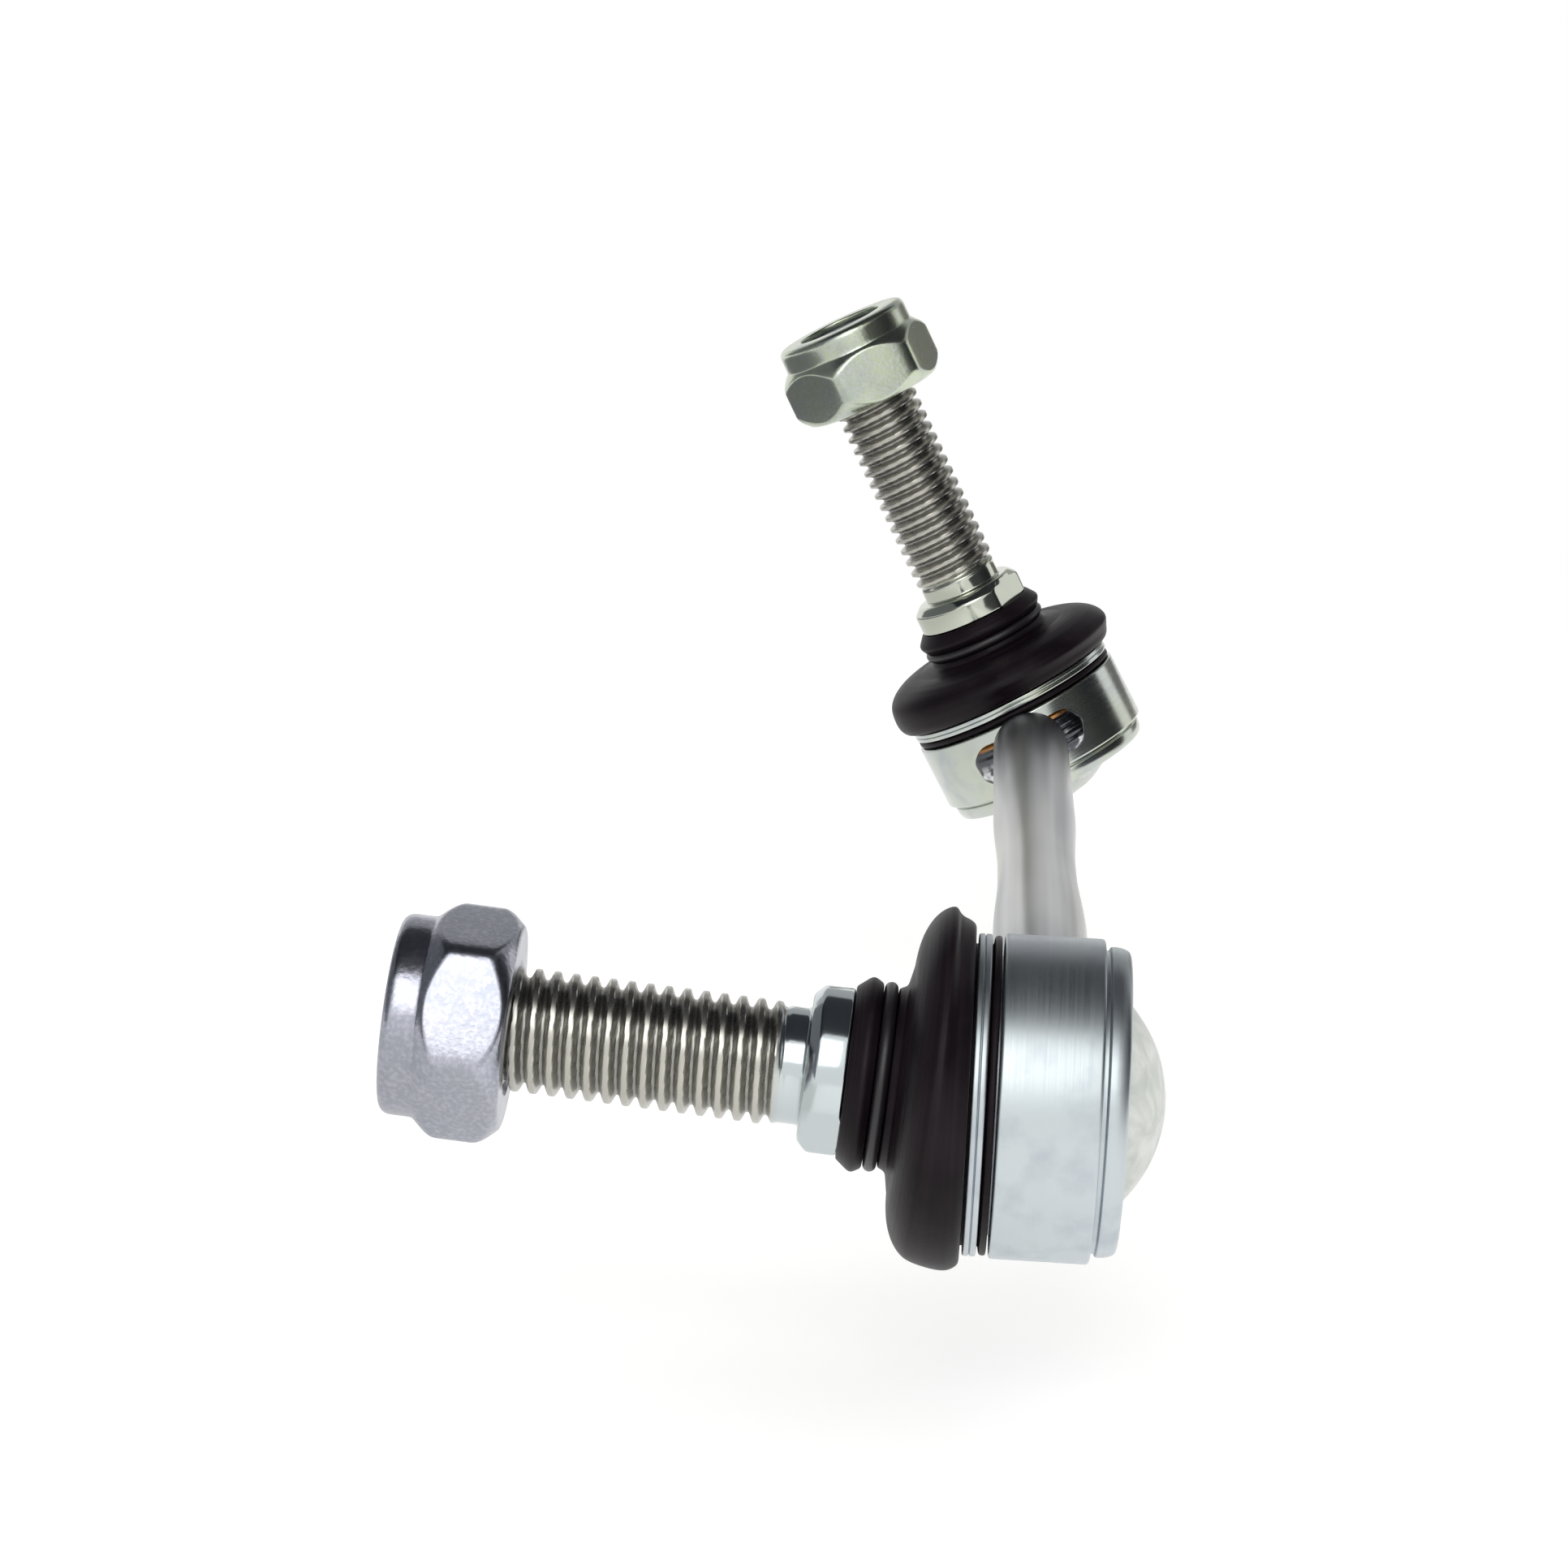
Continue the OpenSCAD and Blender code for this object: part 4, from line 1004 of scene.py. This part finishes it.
class LINK_OT_stage(bpy.types.Operator):
    """Stage: pale floor, soft studio light, cards to reflect, and the camera at the photograph's angle"""
    bl_idname = "link.stage"
    bl_label = "Stage"

    def execute(self, context):
        scene = context.scene
        low, high = (np.array(corner) for corner in CAD_BOX)
        middle = (low + high) / 2
        self.floor(low[2] - FLOOR_DROP, middle)
        self.world(scene)
        self.lamp("front_softbox", middle + np.array([-0.10, -0.74, 0.52]), middle, (0.50, 0.55), power=1.4)
        for name, (offset, across, along) in CARDS.items():
            self.card(name, middle + np.array(offset), across, along)
        self.card("low_card", np.array([-0.18, 0.20, low[2] + 3 * MM]), (0.24, 0.0, 0.0), (0.0, 0.24, 0.0))
        camera = bpy.data.cameras.new("photo_camera")
        camera.sensor_fit = "HORIZONTAL"
        camera.sensor_width = SENSOR_WIDTH
        camera.lens = LENS
        camera.clip_start = 0.01
        camera.dof.use_dof = False
        holder = bpy.data.objects.new("photo_camera", camera)
        spot = BallJoint("near").ball + np.array(CAMERA_PLACE)
        holder.matrix_world = Matrix.Translation(spot) @ Matrix(CAMERA_TURN).to_4x4()
        scene.collection.objects.link(holder)
        scene.camera = holder
        scene.view_settings.view_transform = "Standard"
        return {"FINISHED"}

    def floor(self, height, middle):
        """A round sheet of pale paper under the link: radius times (cos a, sin a) at one height."""
        angles = ring_angles(96)
        rows = np.linspace(0.02, 1.6, 12)
        points = revolved(rows, np.full(len(rows), height), angles)
        points[:, :, :2] += middle[:2]
        mesh = bpy.data.meshes.new("floor")
        row = np.arange(len(rows) - 1)[:, None] * len(angles)
        column, following = np.arange(len(angles)), (np.arange(len(angles)) + 1) % len(angles)
        faces = np.stack([row + column, row + len(angles) + column, row + len(angles) + following,
                          row + following], axis=2).reshape(-1, 4)
        faces = [*faces.tolist(), np.arange(len(angles)).tolist()]
        mesh.from_pydata(points.reshape(-1, 3).tolist(), [], faces)
        paper, tree, shader, place = start_finish("pale paper")
        # Fibres of the paper about 2.5 mm long
        fibre = add(tree, "TexNoise", {"Vector": place["Object"], "Scale": 400.0})
        rough = add(tree, "MapRange", {"Value": fibre, "To Min": 0.75, "To Max": 0.95})
        join(tree, shader, {"Base Color": rgba("floor"), "Roughness": rough})
        # The sheet fades out between 0.22 and 0.5 m from its middle, so that no edge or horizon shows
        centre = add(tree, "VectorMath", {0: place["Object"], 1: (*middle[:2], height)}, operation="DISTANCE")
        fade = add(tree, "MapRange", {"Value": centre.outputs["Value"], "From Min": 0.22, "From Max": 0.5},
                   interpolation_type="SMOOTHSTEP")
        # Seen directly it glows a little, so that it is as white as the background, and in metal it glows on
        # the right
        path = add(tree, "LightPath").outputs
        spot = add(tree, "SeparateXYZ", {"Vector": place["Object"]})
        right = add(tree, "MapRange", {"Value": spot.outputs["X"], "From Min": -0.045, "From Max": 0.0})
        mirrored = add(tree, "Math", {0: path["Is Glossy Ray"], 1: right}, operation="MULTIPLY")
        seen = add(tree, "Math", {0: path["Is Camera Ray"], 1: mirrored}, operation="MAXIMUM")
        glow = add(tree, "MapRange", {"Value": seen, "To Max": 0.34})
        lit = add(tree, "Emission", {"Strength": glow})
        sheet_light = add(tree, "AddShader", {0: shader, 1: lit})
        clear = add(tree, "BsdfTransparent")
        faded = add(tree, "MixShader", {0: fade, 1: sheet_light, 2: clear})
        join(tree, tree.nodes["Material Output"], {"Surface": faded})
        mesh.materials.append(paper)
        sheet = bpy.data.objects.new("floor", mesh)
        bpy.context.scene.collection.objects.link(sheet)

    def card(self, name, centre, across, along):
        """A card that shows only in reflections and glows with its colour, lighting nothing but the metal's
        reflections: centre + (u - 1/2) across + (v - 1/2) along.
        """
        half = np.array([(-0.5, -0.5), (0.5, -0.5), (0.5, 0.5), (-0.5, 0.5)])
        corners = centre + half[:, :1] * np.array(across) + half[:, 1:] * np.array(along)
        mesh = bpy.data.meshes.new(name)
        mesh.from_pydata(corners.tolist(), [], [(0, 1, 2, 3)])
        glowing_card, tree, shader, _ = start_finish(f"felt {name}")
        # The card glows with its colour instead of being lit, so it adds light and shade only to reflections
        join(tree, shader, {"Base Color": (0.0, 0.0, 0.0, 1.0), "Emission Color": rgba(name),
                            "Emission Strength": 1.0})
        mesh.materials.append(glowing_card)
        holder = bpy.data.objects.new(name, mesh)
        holder.visible_camera = False
        holder.visible_diffuse = False
        holder.visible_shadow = False
        bpy.context.scene.collection.objects.link(holder)

    def world(self, scene):
        """White to the camera and in reflections, and a soft even light on everything else."""
        world = bpy.data.worlds.new("studio")
        scene.world = world
        world.use_nodes = True
        tree = world.node_tree
        tree.nodes.clear()
        path = add(tree, "LightPath").outputs
        seen = add(tree, "Math", {0: path["Is Camera Ray"], 1: path["Is Glossy Ray"]}, operation="MAXIMUM")
        seen = add(tree, "Math", {0: seen, 1: path["Is Transmission Ray"]}, operation="MAXIMUM")
        strength = add(tree, "MapRange", {"Value": seen, "To Min": 0.8, "To Max": 1.0})
        back = add(tree, "Background", {"Color": (1, 1, 1, 1), "Strength": strength})
        add(tree, "OutputWorld", {"Surface": back})

    def lamp(self, name, spot, target, size, power):
        """A soft box of a given width and height at a spot, turned to face the target."""
        light = bpy.data.lights.new(name, "AREA")
        light.shape = "RECTANGLE"
        light.size, light.size_y = size
        light.energy = power
        holder = bpy.data.objects.new(name, light)
        back = unit(spot - target)
        right = unit(np.cross([0, 0, 1], back))
        turn = np.column_stack([right, np.cross(back, right), back])
        holder.matrix_world = Matrix.Translation(spot) @ Matrix(turn.tolist()).to_4x4()
        bpy.context.scene.collection.objects.link(holder)


class LINK_PT_panel(bpy.types.Panel):
    """Sidebar panel with one button for each group of pieces"""
    bl_idname = "LINK_PT_panel"
    bl_label = "Stabilizer link"
    bl_space_type = "VIEW_3D"
    bl_region_type = "UI"
    bl_category = "Link"

    def draw(self, context):
        for operator in OPERATORS:
            self.layout.operator(operator.bl_idname)


GROUPS = {
    "link_rod": LinkRodSizes,
    "link_housing": LinkHousingSizes,
    "link_stud": LinkStudSizes,
    "link_boot": LinkBootSizes,
    "link_nut": LinkNutSizes,
    "link_colours": LinkColours,
}
OPERATORS = (LINK_OT_rod, LINK_OT_housings, LINK_OT_seats, LINK_OT_studs, LINK_OT_boots, LINK_OT_rings,
             LINK_OT_nuts, LINK_OT_inserts, LINK_OT_welds, LINK_OT_stage)


def register():
    """Registers the size groups, the operators and the panel."""
    for name, group in GROUPS.items():
        bpy.utils.register_class(group)
        setattr(bpy.types.Scene, name, bpy.props.PointerProperty(type=group))
    for operator in OPERATORS:
        bpy.utils.register_class(operator)
    bpy.utils.register_class(LINK_PT_panel)


def unregister():
    """Takes the classes back out in reverse order."""
    bpy.utils.unregister_class(LINK_PT_panel)
    for operator in reversed(OPERATORS):
        bpy.utils.unregister_class(operator)
    for name, group in reversed(GROUPS.items()):
        delattr(bpy.types.Scene, name)
        bpy.utils.unregister_class(group)


def main():
    """Makes every piece and the stage."""
    register()
    bpy.ops.link.rod()
    bpy.ops.link.housings()
    bpy.ops.link.seats()
    bpy.ops.link.studs()
    bpy.ops.link.boots()
    bpy.ops.link.rings()
    bpy.ops.link.nuts()
    bpy.ops.link.inserts()
    bpy.ops.link.welds()
    bpy.ops.link.stage()


if __name__ == "__main__":
    main()
